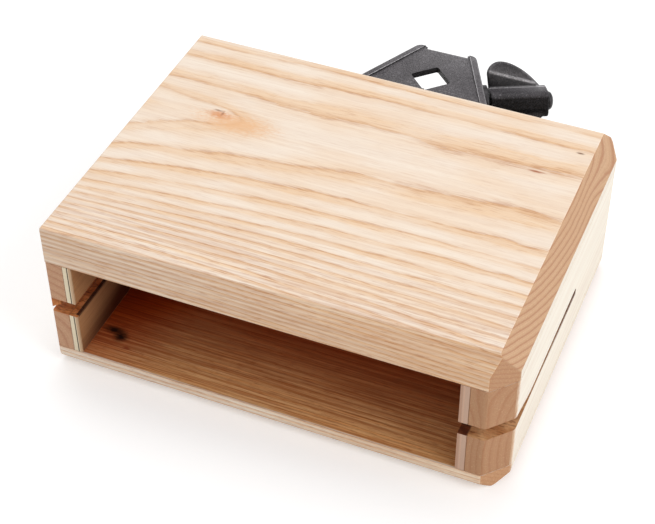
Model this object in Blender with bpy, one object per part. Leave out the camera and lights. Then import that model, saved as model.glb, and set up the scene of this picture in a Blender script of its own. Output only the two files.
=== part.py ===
"""Wood block on a rod bracket.

An open-fronted sound box of ash, 201 x 152 x 76 mm, with slotted end walls lined with
plywood. A cast bracket behind it holds a stand rod in a square hole set corner-wise,
and a wing bolt presses the rod into that hole's far corner.

The origin is the centre of the face that the box stands on. +X runs along the box,
+Y points to the back, where the bracket is, and +Z points up. Lengths are in metres.
"""

import math

import bmesh
import bpy
import numpy as np
from mathutils import Matrix, Vector

MM = 0.001
GAP = 0.3 * MM

# Sound box
LENGTH = 201.2 * MM
DEPTH = 152.0 * MM
HEIGHT = 76.0 * MM
TOP_THICK = 18.0 * MM
FLOOR_THICK = 9.2 * MM
BACK_THICK = 12.0 * MM
LEFT_WALL_THICK = 7.9 * MM
RIGHT_WALL_THICK = 16.2 * MM
LINER_THICK = 3.8 * MM
EDGE_ROUND = 1.0 * MM
EDGE_SEGMENTS = 2

# Faces sanded on the glued-up box, as how far each runs in from the two faces it joins
END_TOP_IN, END_TOP_DOWN = 7.0 * MM, 13.0 * MM
END_FOOT_IN, END_FOOT_UP = 5.0 * MM, 4.5 * MM
FRONT_CORNER_IN, FRONT_CORNER_BACK = 9.3 * MM, 10.3 * MM
REAR_CORNER = 3.6 * MM
REAR_TOP_BEVEL_LEFT, REAR_TOP_BEVEL_RIGHT = 2.8 * MM, 4.6 * MM
FRONT_FOOT_BEVEL = 4.0 * MM
FRONT_LEAN_LEFT, FRONT_LEAN_RIGHT = 0.3 * MM, 4.2 * MM
FRONT_LEAN_DROP = 11.0 * MM

# Slots sawn through the end walls from the front, each flared to a mouth at the front.
# The left mouth stops short of the outer face, which only the kerf goes through.
SLOT_LENGTH = 95.0 * MM
SLOT_FLOOR_Z = 30.3 * MM
LEFT_MOUTH_SKIN = 3.0 * MM
LEFT_MOUTH_LIP = 0.1 * MM
LEFT_MOUTH, LEFT_KERF = 7.4 * MM, 2.2 * MM
LEFT_MOUTH_RUN, LEFT_FLARE_RUN = 30.0 * MM, 18.0 * MM
RIGHT_MOUTH, RIGHT_KERF = 6.6 * MM, 2.6 * MM
RIGHT_MOUTH_RUN, RIGHT_FLARE_RUN = 9.0 * MM, 24.0 * MM
FLARE_STEPS = 10
KERF_END_STEPS = 8
SLOT_PAST = 5.0 * MM

# Bracket casting, measured from the box's back face
BRACKET_X = 6.1 * MM
BRACKET_TOP = 66.0 * MM
BRACKET_HEIGHT = 30.7 * MM
PLATE_THICK = 3.0 * MM
FLANK_THICK = 3.2 * MM
FLANK_ANGLE = math.radians(26.0)
FLANGE_THICK = 3.2 * MM
FLANGE_HALF_WIDTH = 45.0 * MM
FLANGE_CORNER = 4.0 * MM
FLANGE_PAST_RIM = 0.8 * MM
FLANGE_WEB = 3.7 * MM
RIM_REACH = 42.0 * MM
REAR_EDGE = 40.35 * MM
REAR_HALF_WIDTH = 14.3 * MM
REAR_CORNER_ROUND = 2.2 * MM
REAR_FILLET = 0.7 * MM
RIM_RAISE = 0.9 * MM
CASTING_ROUND = 0.7 * MM
HOLE_BACK = 18.5 * MM
HOLE_SIDE = 13.8 * MM
HOLE_CORNER = 0.9 * MM
BOSS_RADIUS = 9.2 * MM
BOSS_HEIGHT = 1.2 * MM
BOSS_EDGE = 0.4 * MM
WINDOW_BACK = 24.0 * MM
WINDOW_LOW, WINDOW_HIGH = 41.5 * MM, 60.0 * MM
WINDOW_STEPS = 12

# Screws through the bracket's flange: the upper pair into the top plate, the lower into the back wall
SCREW_SPREAD_X = 39.5 * MM
SCREW_SPREAD_Z = 10.5 * MM
SCREW_SHANK_RADIUS = 2.0 * MM
SCREW_HEAD_RADIUS = 3.9 * MM
SCREW_HEAD_HEIGHT = 2.4 * MM
SCREW_DEPTH = 9.0 * MM

# Clamp, as distances along the bolt's axis from the hole's centre
BUSH_FLANGE_RADIUS, BUSH_FLANGE_THICK = 8.5 * MM, 2.3 * MM
BUSH_RADIUS = 6.0 * MM
BUSH_INNER_END = 17.2 * MM
THREAD_RADIUS = 3.85 * MM
FOOT_START, FOOT_END = 3.0 * MM, 6.4 * MM
FOOT_RADIUS = 4.6 * MM
FOOT_POCKET_START = 4.3 * MM
NOSE_RADIUS = 2.2 * MM
BOLT_END = 49.5 * MM
HUB_START, HUB_END = 28.0 * MM, 55.4 * MM
HUB_WIDE, HUB_DEEP = 12.4 * MM, 13.0 * MM
HUB_CORNER = 2.6 * MM
HUB_END_ROUND = 0.9 * MM
CAP_RADIUS, CAP_RISE, CAP_RIM = 4.3 * MM, 2.6 * MM, 0.5 * MM
WING_THICK = 3.8 * MM
WING_EDGE_THICK = 1.5 * MM
WING_TILT = math.radians(16.0)
ROUND_STEPS = 40

# Outline of one wing in millimetres, as distances along the axis and off it. Bezier arcs
# join the shoulder, the crest, the slope and the tip, and each arc's two pulls are offsets
# from its ends.
WING_ROOT = (28.7, 2.5)
WING_SHOULDER = (27.4, 12.6)
WING_CREST = (33.2, 18.6)
WING_SLOPE = (43.7, 14.4)
WING_TIP = (52.5, 6.1)
WING_HEEL = (54.3, 5.0)
WING_ARCS = (
    (WING_SHOULDER, (0.0, 3.3), (-3.2, 0.0), WING_CREST, 7),
    (WING_CREST, (3.6, 0.0), (-3.4, 2.3), WING_SLOPE, 6),
    (WING_SLOPE, (3.2, -2.2), (-1.8, 2.2), WING_TIP, 6),
)
WING_CREASE = ((27.4, 14.6), (49.6, 8.0))
WING_CREST_PAST_CREASE = 4.6

FRONT = -DEPTH / 2
BACK = DEPTH / 2
LEFT = -LENGTH / 2
RIGHT = LENGTH / 2
UNDERSIDE = HEIGHT - TOP_THICK
LINER_LEFT = LEFT + LEFT_WALL_THICK
LINER_RIGHT = RIGHT - RIGHT_WALL_THICK
BACK_INSIDE = BACK - BACK_THICK
RIM_TOP = BRACKET_TOP + RIM_RAISE
RIM_BOTTOM = BRACKET_TOP - BRACKET_HEIGHT - RIM_RAISE
AXIS_Z = BRACKET_TOP - BRACKET_HEIGHT / 2
HOLE_CENTRE = Vector((BRACKET_X, BACK + HOLE_BACK, AXIS_Z))
BOLT_DIRECTION = Vector((math.cos(FLANK_ANGLE), math.sin(FLANK_ANGLE), 0.0))
ALONG_BACK = Matrix.Rotation(math.radians(-90.0), 4, 'X')


def clear_scene():
    """Remove every object that the file opened with."""
    for item in list(bpy.data.objects):
        bpy.data.objects.remove(item, do_unlink=True)


def finish(name, colour, roughness, metallic=0.0):
    """Return a Principled material of one colour."""
    material = bpy.data.materials.new(name)
    material.use_nodes = True
    shader = material.node_tree.nodes["Principled BSDF"]
    shader.inputs["Base Color"].default_value = (*colour, 1.0)
    shader.inputs["Roughness"].default_value = roughness
    shader.inputs["Metallic"].default_value = metallic
    material.diffuse_color = (*colour, 1.0)
    return material


def to_object(name, mesh_data, material=None, frame=None):
    """Turn a bmesh into a named object, shaded smooth up to sharp edges."""
    bmesh.ops.recalc_face_normals(mesh_data, faces=mesh_data.faces)
    mesh = bpy.data.meshes.new(name)
    mesh_data.to_mesh(mesh)
    mesh_data.free()
    mesh.shade_smooth()
    mesh.set_sharp_from_angle(angle=math.radians(32.0))
    if material is not None:
        mesh.materials.append(material)
    item = bpy.data.objects.new(name, mesh)
    if frame is not None:
        item.matrix_world = frame
    bpy.context.scene.collection.objects.link(item)
    return item


def shape_with(item, other, operation):
    """Cut or join a body with a guide body, which is left out of the part."""
    other.hide_render = True
    other.display_type = 'WIRE'
    modifier = item.modifiers.new(other.name, 'BOOLEAN')
    modifier.operation = operation
    modifier.solver = 'EXACT'
    modifier.object = other


def box_mesh(low, high):
    """Return a box between two corners."""
    mesh = bmesh.new()
    bmesh.ops.create_cube(mesh, size=1.0)
    low, high = Vector(low), Vector(high)
    for vert in mesh.verts:
        for axis in range(3):
            vert.co[axis] = high[axis] if vert.co[axis] > 0 else low[axis]
    return mesh


def prism_mesh(outline, low, high):
    """Return an outline in X and Y extruded from one height to another."""
    mesh = bmesh.new()
    corners = [mesh.verts.new((x, y, low)) for x, y in outline]
    base = mesh.faces.new(corners)
    top = bmesh.ops.extrude_face_region(mesh, geom=[base])
    moved = [part for part in top["geom"] if isinstance(part, bmesh.types.BMVert)]
    bmesh.ops.translate(mesh, verts=moved, vec=(0, 0, high - low))
    return mesh


def turned_mesh(profile, steps=ROUND_STEPS):
    """Return a profile of radius and height pairs turned about local Z.

    The profile runs from bottom to top, and a first or last pair on the axis closes it.
    A profile that starts and ends off the axis is a ring, closed back to its start.
    """
    mesh = bmesh.new()
    points = [mesh.verts.new((radius, 0.0, height)) for radius, height in profile]
    edges = [mesh.edges.new(pair) for pair in zip(points[:-1], points[1:])]
    if profile[0][0] > 0 and profile[-1][0] > 0:
        edges.append(mesh.edges.new((points[-1], points[0])))
    bmesh.ops.spin(mesh, geom=points + edges, cent=(0, 0, 0), axis=(0, 0, 1),
                   angle=2 * math.pi, steps=steps, use_duplicate=False, use_merge=True)
    bmesh.ops.remove_doubles(mesh, verts=mesh.verts, dist=0.001 * MM)
    return mesh


def plane_through(point, along, across):
    """Return a cutting plane that holds a point and two directions.

    The waste is on the side that cross(along, across) points to.
    """
    return Vector(point), Vector(along).cross(Vector(across)).normalized()


def plane_cut(mesh, plane):
    """Cut away what lies in front of a plane and close the cut."""
    point, normal = plane
    parts = mesh.verts[:] + mesh.edges[:] + mesh.faces[:]
    cut = bmesh.ops.bisect_plane(mesh, geom=parts, dist=0.0001 * MM, plane_co=point,
                                 plane_no=normal, clear_outer=True)
    rim = [part for part in cut["geom_cut"] if isinstance(part, bmesh.types.BMEdge)]
    if rim:
        bmesh.ops.contextual_create(mesh, geom=rim)


def sanded_faces():
    """Return the planes that were sanded across the glued-up box."""
    drop = FRONT_LEAN_DROP / FRONT_LEAN_RIGHT
    lean_left = (LEFT, FRONT + FRONT_LEAN_LEFT, HEIGHT)
    lean_right = (RIGHT - FRONT_CORNER_IN, FRONT + FRONT_LEAN_RIGHT, HEIGHT)
    lean_along = Vector(lean_right) - Vector(lean_left)
    rear_left = (LEFT, BACK, HEIGHT - REAR_TOP_BEVEL_LEFT)
    rear_along = (LENGTH, 0, REAR_TOP_BEVEL_LEFT - REAR_TOP_BEVEL_RIGHT)
    return [
        plane_through((RIGHT - END_TOP_IN, 0, HEIGHT),
                      (END_TOP_IN, 0, -END_TOP_DOWN), (0, 1, 0)),
        plane_through((RIGHT - END_FOOT_IN, 0, 0), (END_FOOT_IN, 0, END_FOOT_UP), (0, -1, 0)),
        plane_through((RIGHT - FRONT_CORNER_IN, FRONT, 0),
                      (FRONT_CORNER_IN, FRONT_CORNER_BACK, 0), (0, 0, 1)),
        plane_through((RIGHT, BACK - REAR_CORNER, 0), (-1, 1, 0), (0, 0, 1)),
        plane_through(rear_left, (0, -1, 1), rear_along),
        plane_through((0, FRONT, FRONT_FOOT_BEVEL), (0, 1, -1), (1, 0, 0)),
        plane_through(lean_left, lean_along, (0, 1, drop)),
    ]


def wooden_piece(name, low, high, material, glue_heights=(), glue_sides=()):
    """Return one member of the box, with the sanded faces and lightly rounded outer edges.

    Edges that lie wholly on a glued face stay sharp, so that the seams stay tight.
    """
    mesh = box_mesh(low, high)
    for plane in sanded_faces():
        plane_cut(mesh, plane)
    bmesh.ops.remove_doubles(mesh, verts=mesh.verts, dist=0.01 * MM)
    bmesh.ops.recalc_face_normals(mesh, faces=mesh.faces)

    def glued(edge):
        flat = [all(abs(vert.co.z - z) < GAP for vert in edge.verts) for z in glue_heights]
        side = [all(abs(vert.co.x - x) < GAP for vert in edge.verts) for x in glue_sides]
        return any(flat) or any(side)

    outer = [edge for edge in mesh.edges
             if edge.calc_face_angle(0.0) > math.radians(20.0) and not glued(edge)]
    bmesh.ops.bevel(mesh, geom=outer, offset=EDGE_ROUND, offset_type='OFFSET',
                    segments=EDGE_SEGMENTS, profile=0.5, affect='EDGES', clamp_overlap=True)
    return to_object(name, mesh, material)


def kerf_outline(kerf):
    """Return the floor and the round end of a slot as Y and Z pairs, from the front."""
    outline = [(FRONT - SLOT_PAST, SLOT_FLOOR_Z)]
    end_y = FRONT + SLOT_LENGTH - kerf / 2
    for step in range(KERF_END_STEPS + 1):
        turn = math.pi * step / KERF_END_STEPS - math.pi / 2
        outline.append((end_y + math.cos(turn) * kerf / 2,
                        SLOT_FLOOR_Z + kerf / 2 + math.sin(turn) * kerf / 2))
    return outline


def flare_roof(mouth, kerf, mouth_run, flare_run):
    """Return a mouth's roof as Y and Z pairs, from the front.

    It stays at the mouth's height for the mouth's run, and comes down along a cosine
    over the flare's run to the height named kerf.
    """
    roof = [(FRONT - SLOT_PAST, SLOT_FLOOR_Z + mouth)]
    for step in range(FLARE_STEPS + 1):
        share = step / FLARE_STEPS
        rise = 0.5 + 0.5 * math.cos(math.pi * share)
        roof.append((FRONT + mouth_run + flare_run * share,
                     SLOT_FLOOR_Z + kerf + (mouth - kerf) * rise))
    return roof


def saw_across(pieces, name, outline, low_x, high_x):
    """Cut an outline of Y and Z pairs through pieces, from one X to another."""
    mesh = bmesh.new()
    corners = [mesh.verts.new((low_x, y, z)) for y, z in outline]
    face = mesh.faces.new(corners)
    grown = bmesh.ops.extrude_face_region(mesh, geom=[face])
    moved = [part for part in grown["geom"] if isinstance(part, bmesh.types.BMVert)]
    bmesh.ops.translate(mesh, verts=moved, vec=(high_x - low_x, 0, 0))
    cutter = to_object(name, mesh)
    for piece in pieces:
        shape_with(piece, cutter, 'DIFFERENCE')


def rout_mouth(pieces, name, roof, inner_x):
    """Open a mouth in a wall from its inner side, down to the middle of the kerf.

    The cutter is a row of upright rectangles along Y. Its outer side starts at the
    wall's outer face at the front and runs in at 45 degrees until the skin is left.
    """
    low = SLOT_FLOOR_Z + LEFT_KERF / 2
    lip, skin = LEFT + LEFT_MOUTH_LIP, LEFT + LEFT_MOUTH_SKIN
    top = roof[0][1]
    stations = [(FRONT - SLOT_PAST, top, lip - SLOT_PAST), (FRONT, top, lip),
                (FRONT + skin - lip, top, skin)]
    stations += [(y, z, skin) for y, z in roof[1:]]
    mesh = bmesh.new()
    rings = [[mesh.verts.new(corner) for corner in
              ((outer_x, y, low), (inner_x, y, low), (inner_x, y, z), (outer_x, y, z))]
             for y, z, outer_x in stations]
    for ring, after in zip(rings[:-1], rings[1:]):
        for side in range(4):
            turn = (side + 1) % 4
            mesh.faces.new((ring[side], ring[turn], after[turn], after[side]))
    mesh.faces.new(rings[0])
    mesh.faces.new(rings[-1])
    cutter = to_object(name, mesh)
    for piece in pieces:
        shape_with(piece, cutter, 'DIFFERENCE')


def build_sound_box(ash, end_grain, plywood):
    """Model the seven wooden members, and return the two that screws go into."""
    low_wall, high_wall = FLOOR_THICK + GAP, UNDERSIDE - GAP
    seams = (low_wall, high_wall)
    top_plate = wooden_piece("top_plate", (LEFT, FRONT, UNDERSIDE), (RIGHT, BACK, HEIGHT),
                             ash, glue_heights=(UNDERSIDE,))
    wooden_piece("bottom_plate", (LEFT, FRONT, 0), (RIGHT, BACK, FLOOR_THICK), ash,
                 glue_heights=(FLOOR_THICK,))
    left_wall = wooden_piece("left_wall", (LEFT, FRONT, low_wall),
                             (LINER_LEFT, BACK, high_wall), end_grain, seams, (LINER_LEFT,))
    right_wall = wooden_piece("right_wall", (LINER_RIGHT, FRONT, low_wall),
                              (RIGHT, BACK, high_wall), end_grain, seams, (LINER_RIGHT,))
    left_inner = LINER_LEFT + GAP
    right_inner = LINER_RIGHT - GAP
    left_liner = wooden_piece(
        "left_liner", (left_inner, FRONT, low_wall),
        (left_inner + LINER_THICK, BACK_INSIDE - GAP, high_wall), plywood, seams,
        (left_inner, left_inner + LINER_THICK))
    right_liner = wooden_piece(
        "right_liner", (right_inner - LINER_THICK, FRONT, low_wall),
        (right_inner, BACK_INSIDE - GAP, high_wall), plywood, seams,
        (right_inner, right_inner - LINER_THICK))
    back_wall = wooden_piece("back_wall", (left_inner, BACK_INSIDE, low_wall),
                             (right_inner, BACK, high_wall), ash, seams,
                             (left_inner, right_inner))
    left_kerf = kerf_outline(LEFT_KERF)
    left_kerf += [(left_kerf[0][0], SLOT_FLOOR_Z + LEFT_KERF)]
    left_roof = flare_roof(LEFT_MOUTH, LEFT_KERF * 0.75, LEFT_MOUTH_RUN, LEFT_FLARE_RUN)
    right_roof = flare_roof(RIGHT_MOUTH, RIGHT_KERF, RIGHT_MOUTH_RUN, RIGHT_FLARE_RUN)
    left_inside = left_inner + LINER_THICK + SLOT_PAST
    saw_across((left_wall, left_liner), "left_slot_cut", left_kerf, LEFT - SLOT_PAST, left_inside)
    rout_mouth((left_wall, left_liner), "left_mouth_cut", left_roof, left_inside)
    saw_across((right_wall, right_liner), "right_slot_cut",
               kerf_outline(RIGHT_KERF) + right_roof[::-1],
               right_inner - LINER_THICK - SLOT_PAST, RIGHT + SLOT_PAST)
    return top_plate, back_wall


def flank_half_width(back, inset=0.0):
    """Return half the bracket's width at a distance behind the box, inside its flanks."""
    return (REAR_HALF_WIDTH + (RIM_REACH - back) * math.tan(FLANK_ANGLE)
            - inset / math.cos(FLANK_ANGLE))


def tapered_outline(near, far, inset=0.0):
    """Return the bracket's tapered plan between two distances behind the box."""
    wide, narrow = flank_half_width(near, inset), flank_half_width(far, inset)
    return [(BRACKET_X - wide, BACK + near), (BRACKET_X + wide, BACK + near),
            (BRACKET_X + narrow, BACK + far), (BRACKET_X - narrow, BACK + far)]


def round_upright_edges(mesh, radius, segments, chosen=lambda edge: True):
    """Round the chosen edges that stand along Z."""
    upright = [edge for edge in mesh.edges
               if abs(edge.verts[0].co.z - edge.verts[1].co.z) > MM
               and abs(edge.verts[0].co.x - edge.verts[1].co.x) < 0.01 * MM
               and chosen(edge)]
    bmesh.ops.bevel(mesh, geom=upright, offset=radius, offset_type='OFFSET',
                    segments=segments, profile=0.5, affect='EDGES')


def screw_places():
    """Return the X and Z of each screw."""
    return [(BRACKET_X + side * SCREW_SPREAD_X, AXIS_Z + level * SCREW_SPREAD_Z)
            for side in (-1, 1) for level in (-1, 1)]


def bolt_frame(turn=0.0):
    """Return the clamp's frame: Z along the bolt, X up and turned about the bolt."""
    up = Vector((0, 0, 1))
    back = up.cross(BOLT_DIRECTION)
    wing = up * math.cos(turn) + back * math.sin(turn)
    side = BOLT_DIRECTION.cross(wing)
    turned = Matrix((wing, side, BOLT_DIRECTION)).transposed().to_4x4()
    return Matrix.Translation(HOLE_CENTRE) @ turned


def flank_outer_distance():
    """Return how far the flank's outer face is from the hole's centre, along the bolt."""
    reach = Vector((flank_half_width(HOLE_BACK), 0, 0))
    return reach.dot(BOLT_DIRECTION)


def window_outline():
    """Return the left flank's window as Y and Z pairs: round in front, open to the rear."""
    radius = (WINDOW_HIGH - WINDOW_LOW) / 2
    centre_y, centre_z = BACK + WINDOW_BACK + radius, (WINDOW_HIGH + WINDOW_LOW) / 2
    past = BACK + RIM_REACH + radius
    turns = np.linspace(-math.pi / 2, math.pi / 2, WINDOW_STEPS + 1)
    round_end = [(centre_y - radius * math.cos(turn), centre_z + radius * math.sin(turn))
                 for turn in turns]
    return [(past, WINDOW_LOW)] + round_end + [(past, WINDOW_HIGH)]


def build_bracket(casting):
    """Model the bracket, cast in one: two plates, two raised flanks and a screw flange.

    The left flank has a window that is open to the rear, and the right one a boss.
    """
    body_mesh = prism_mesh(tapered_outline(FLANGE_THICK / 2, RIM_REACH), RIM_BOTTOM, RIM_TOP)
    round_upright_edges(body_mesh, REAR_CORNER_ROUND, 4,
                        lambda edge: edge.verts[0].co.y > BACK + REAR_EDGE)
    rim_edges = [edge for edge in body_mesh.edges
                 if abs(edge.verts[0].co.z - edge.verts[1].co.z) < 0.01 * MM
                 and (edge.verts[0].co.y + edge.verts[1].co.y) / 2 > BACK + FLANGE_THICK]
    bmesh.ops.bevel(body_mesh, geom=rim_edges, offset=CASTING_ROUND, offset_type='OFFSET',
                    segments=2, profile=0.5, affect='EDGES')
    bracket = to_object("bracket", body_mesh, casting)

    low, high = RIM_BOTTOM - FLANGE_PAST_RIM, RIM_TOP + FLANGE_PAST_RIM
    flange_mesh = prism_mesh(
        [(BRACKET_X - FLANGE_HALF_WIDTH, low), (BRACKET_X + FLANGE_HALF_WIDTH, low),
         (BRACKET_X + FLANGE_HALF_WIDTH, high), (BRACKET_X - FLANGE_HALF_WIDTH, high)],
        -(BACK + FLANGE_THICK), -(BACK + GAP))
    round_upright_edges(flange_mesh, FLANGE_CORNER, 5)
    upright = Matrix.Rotation(math.radians(90.0), 4, 'X')
    flange = to_object("flange_form", flange_mesh, frame=upright)
    shape_with(bracket, flange, 'UNION')

    outer = flank_outer_distance()
    sunk = outer - FLANK_THICK / 2
    boss_mesh = turned_mesh([(0, sunk), (BOSS_RADIUS, sunk),
                             (BOSS_RADIUS, outer + BOSS_HEIGHT - BOSS_EDGE),
                             (BOSS_RADIUS - BOSS_EDGE, outer + BOSS_HEIGHT),
                             (0, outer + BOSS_HEIGHT)])
    boss = to_object("boss_form", boss_mesh, frame=bolt_frame())
    shape_with(bracket, boss, 'UNION')

    past = 3 * MM
    inside_top = BRACKET_TOP - PLATE_THICK
    inside_bottom = BRACKET_TOP - BRACKET_HEIGHT + PLATE_THICK
    cuts = {
        "inside_cut": prism_mesh(tapered_outline(FLANGE_WEB, RIM_REACH + past, FLANK_THICK),
                                 inside_bottom, inside_top),
        "top_recess_cut": prism_mesh(
            tapered_outline(FLANGE_WEB, RIM_REACH + past, FLANK_THICK),
            BRACKET_TOP, RIM_TOP + past),
        "bottom_recess_cut": prism_mesh(
            tapered_outline(FLANGE_WEB, RIM_REACH + past, FLANK_THICK),
            RIM_BOTTOM - past, BRACKET_TOP - BRACKET_HEIGHT),
        "rear_edge_cut": prism_mesh(
            tapered_outline(REAR_EDGE, RIM_REACH + past, FLANK_THICK + REAR_FILLET),
            RIM_BOTTOM - past, RIM_TOP + past),
    }
    half = HOLE_SIDE / math.sqrt(2)
    centre = BACK + HOLE_BACK
    square = prism_mesh([(BRACKET_X - half, centre), (BRACKET_X, centre - half),
                         (BRACKET_X + half, centre), (BRACKET_X, centre + half)],
                        RIM_BOTTOM - past, RIM_TOP + past)
    round_upright_edges(square, HOLE_CORNER, 3)
    cuts["rod_hole_cut"] = square
    for name, mesh in cuts.items():
        shape_with(bracket, to_object(name, mesh), 'DIFFERENCE')

    bore_low, bore_radius = outer - FLANK_THICK - past, BUSH_RADIUS + GAP
    bore = turned_mesh([(0, bore_low), (bore_radius, bore_low),
                        (bore_radius, outer + past), (0, outer + past)])
    shape_with(bracket, to_object("bush_bore_cut", bore, frame=bolt_frame()), 'DIFFERENCE')
    saw_across((bracket,), "flank_window_cut", window_outline(),
               BRACKET_X - FLANGE_HALF_WIDTH, BRACKET_X - REAR_FILLET)
    return bracket


def drill_screw_holes(bracket, top_plate, back_wall):
    """Drill the flange for each screw, and the member behind it."""
    for index, (x, z) in enumerate(screw_places(), start=1):
        radius = SCREW_SHANK_RADIUS + GAP
        hole = turned_mesh([(0, -SCREW_DEPTH - MM), (radius, -SCREW_DEPTH - MM),
                            (radius, FLANGE_THICK + MM), (0, FLANGE_THICK + MM)], 20)
        frame = Matrix.Translation((x, BACK, z)) @ ALONG_BACK
        cutter = to_object("screw_hole_cut_%d" % index, hole, frame=frame)
        shape_with(bracket, cutter, 'DIFFERENCE')
        shape_with(top_plate if z > UNDERSIDE else back_wall, cutter, 'DIFFERENCE')


def build_screws(steel):
    """Model the four pan-headed screws, which share one mesh."""
    seat = FLANGE_THICK + GAP
    top = seat + SCREW_HEAD_HEIGHT
    profile = [(0, -SCREW_DEPTH), (SCREW_SHANK_RADIUS * 0.5, -SCREW_DEPTH + 1.2 * MM),
               (SCREW_SHANK_RADIUS, -SCREW_DEPTH + 3.5 * MM), (SCREW_SHANK_RADIUS, seat),
               (SCREW_HEAD_RADIUS, seat), (SCREW_HEAD_RADIUS, seat + 0.9 * MM),
               (SCREW_HEAD_RADIUS * 0.86, top - 0.6 * MM), (SCREW_HEAD_RADIUS * 0.55, top),
               (SCREW_HEAD_RADIUS * 0.3, top), (0, top - 1.3 * MM)]
    first = None
    for index, (x, z) in enumerate(screw_places(), start=1):
        frame = Matrix.Translation((x, BACK, z)) @ ALONG_BACK
        name = "bracket_screw_%d" % index
        if first is None:
            first = to_object(name, turned_mesh(profile, 20), steel, frame)
            continue
        screw = bpy.data.objects.new(name, first.data)
        screw.matrix_world = frame
        bpy.context.scene.collection.objects.link(screw)


def build_clamp(steel, foot_finish, bolt_finish):
    """Model the bush, the pressure foot, the bolt and its end cap on the bolt's axis."""
    frame = bolt_frame()
    seat = flank_outer_distance() + BOSS_HEIGHT + GAP
    bore = THREAD_RADIUS + GAP
    to_object("thread_bush", turned_mesh([
        (bore, BUSH_INNER_END), (BUSH_RADIUS - 0.5 * MM, BUSH_INNER_END),
        (BUSH_RADIUS, BUSH_INNER_END + 0.5 * MM), (BUSH_RADIUS, seat),
        (BUSH_FLANGE_RADIUS, seat), (BUSH_FLANGE_RADIUS, seat + BUSH_FLANGE_THICK - 0.4 * MM),
        (BUSH_FLANGE_RADIUS - 0.4 * MM, seat + BUSH_FLANGE_THICK),
        (bore, seat + BUSH_FLANGE_THICK)]), steel, frame)
    to_object("pressure_foot", turned_mesh([
        (0, FOOT_START), (FOOT_RADIUS - 0.8 * MM, FOOT_START),
        (FOOT_RADIUS, FOOT_START + 0.8 * MM), (FOOT_RADIUS, FOOT_END - 0.5 * MM),
        (FOOT_RADIUS - 0.5 * MM, FOOT_END), (NOSE_RADIUS + GAP, FOOT_END),
        (NOSE_RADIUS + GAP, FOOT_POCKET_START), (0, FOOT_POCKET_START)]), foot_finish, frame)
    to_object("clamp_bolt", turned_mesh([
        (0, FOOT_POCKET_START + GAP), (NOSE_RADIUS - 0.4 * MM, FOOT_POCKET_START + GAP),
        (NOSE_RADIUS, FOOT_POCKET_START + 0.7 * MM), (NOSE_RADIUS, FOOT_END + GAP),
        (THREAD_RADIUS - 0.6 * MM, FOOT_END + GAP), (THREAD_RADIUS, FOOT_END + MM),
        (THREAD_RADIUS, BOLT_END), (0, BOLT_END)]), bolt_finish, frame)
    plug, rim = BOLT_END + GAP, HUB_END + GAP
    dome = [(CAP_RADIUS * math.cos(turn), rim + CAP_RIM + (CAP_RISE - CAP_RIM) * math.sin(turn))
            for turn in np.linspace(0.0, math.pi / 2, 7)[:-1]]
    profile = [(0, plug), (THREAD_RADIUS, plug), (THREAD_RADIUS, rim), (CAP_RADIUS, rim)]
    profile += dome + [(0, rim + CAP_RISE)]
    to_object("end_cap", turned_mesh(profile), bolt_finish, frame)


def wing_outline():
    """Return one wing's outline in millimetres, as axial and off-axis pairs.

    It goes from the root over the shoulder, the crest and the long slope to the heel.
    """
    outline = [WING_ROOT]
    for start, pull_one, pull_two, end, steps in WING_ARCS:
        start, end = np.array(start), np.array(end)
        one, two = start + pull_one, end + pull_two
        share = np.linspace(0.0, 1.0, steps)[:-1, None]
        rest = 1.0 - share
        arc = (rest ** 3 * start + 3 * rest ** 2 * share * one
               + 3 * rest * share ** 2 * two + share ** 3 * end)
        outline += [tuple(point) for point in arc.tolist()]
    return outline + [WING_TIP, WING_HEEL, (WING_HEEL[0], WING_ROOT[1])]


def wing_mesh():
    """Return one wing: a plate on the hub's far side, thinned above a straight crease."""
    mesh = bmesh.new()
    far = -HUB_DEEP / 2
    near = far + WING_THICK
    corners = [mesh.verts.new((w * MM, far, s * MM)) for s, w in wing_outline()]
    face = mesh.faces.new(corners)
    grown = bmesh.ops.extrude_face_region(mesh, geom=[face])
    moved = [part for part in grown["geom"] if isinstance(part, bmesh.types.BMVert)]
    bmesh.ops.translate(mesh, verts=moved, vec=(0, WING_THICK, 0))
    bmesh.ops.recalc_face_normals(mesh, faces=mesh.faces)
    (start_s, start_w), (end_s, end_w) = WING_CREASE
    along = Vector(((end_w - start_w) * MM, 0, (end_s - start_s) * MM))
    thinning = (WING_THICK - WING_EDGE_THICK) / 2
    for level, side in ((near, -1.0), (far, 1.0)):
        point = Vector((start_w * MM, level, start_s * MM))
        slope = Vector((WING_CREST_PAST_CREASE * MM, side * thinning, 0))
        normal = along.cross(slope).normalized()
        if normal.y * side > 0:
            normal.negate()
        plane_cut(mesh, (point, normal))
    bmesh.ops.remove_doubles(mesh, verts=mesh.verts, dist=0.005 * MM)
    return mesh


def hub_mesh():
    """Return the handle's hub: a rounded bar with softened ends."""
    wide, deep = HUB_WIDE / 2, HUB_DEEP / 2
    mesh = prism_mesh([(-wide, -deep), (wide, -deep), (wide, deep), (-wide, deep)],
                      HUB_START, HUB_END)
    round_upright_edges(mesh, HUB_CORNER, 4)
    ends = [edge for edge in mesh.edges
            if abs(edge.verts[0].co.z - edge.verts[1].co.z) < 0.01 * MM]
    bmesh.ops.bevel(mesh, geom=ends, offset=HUB_END_ROUND, offset_type='OFFSET', segments=3,
                    profile=0.5, affect='EDGES')
    return mesh


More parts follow.
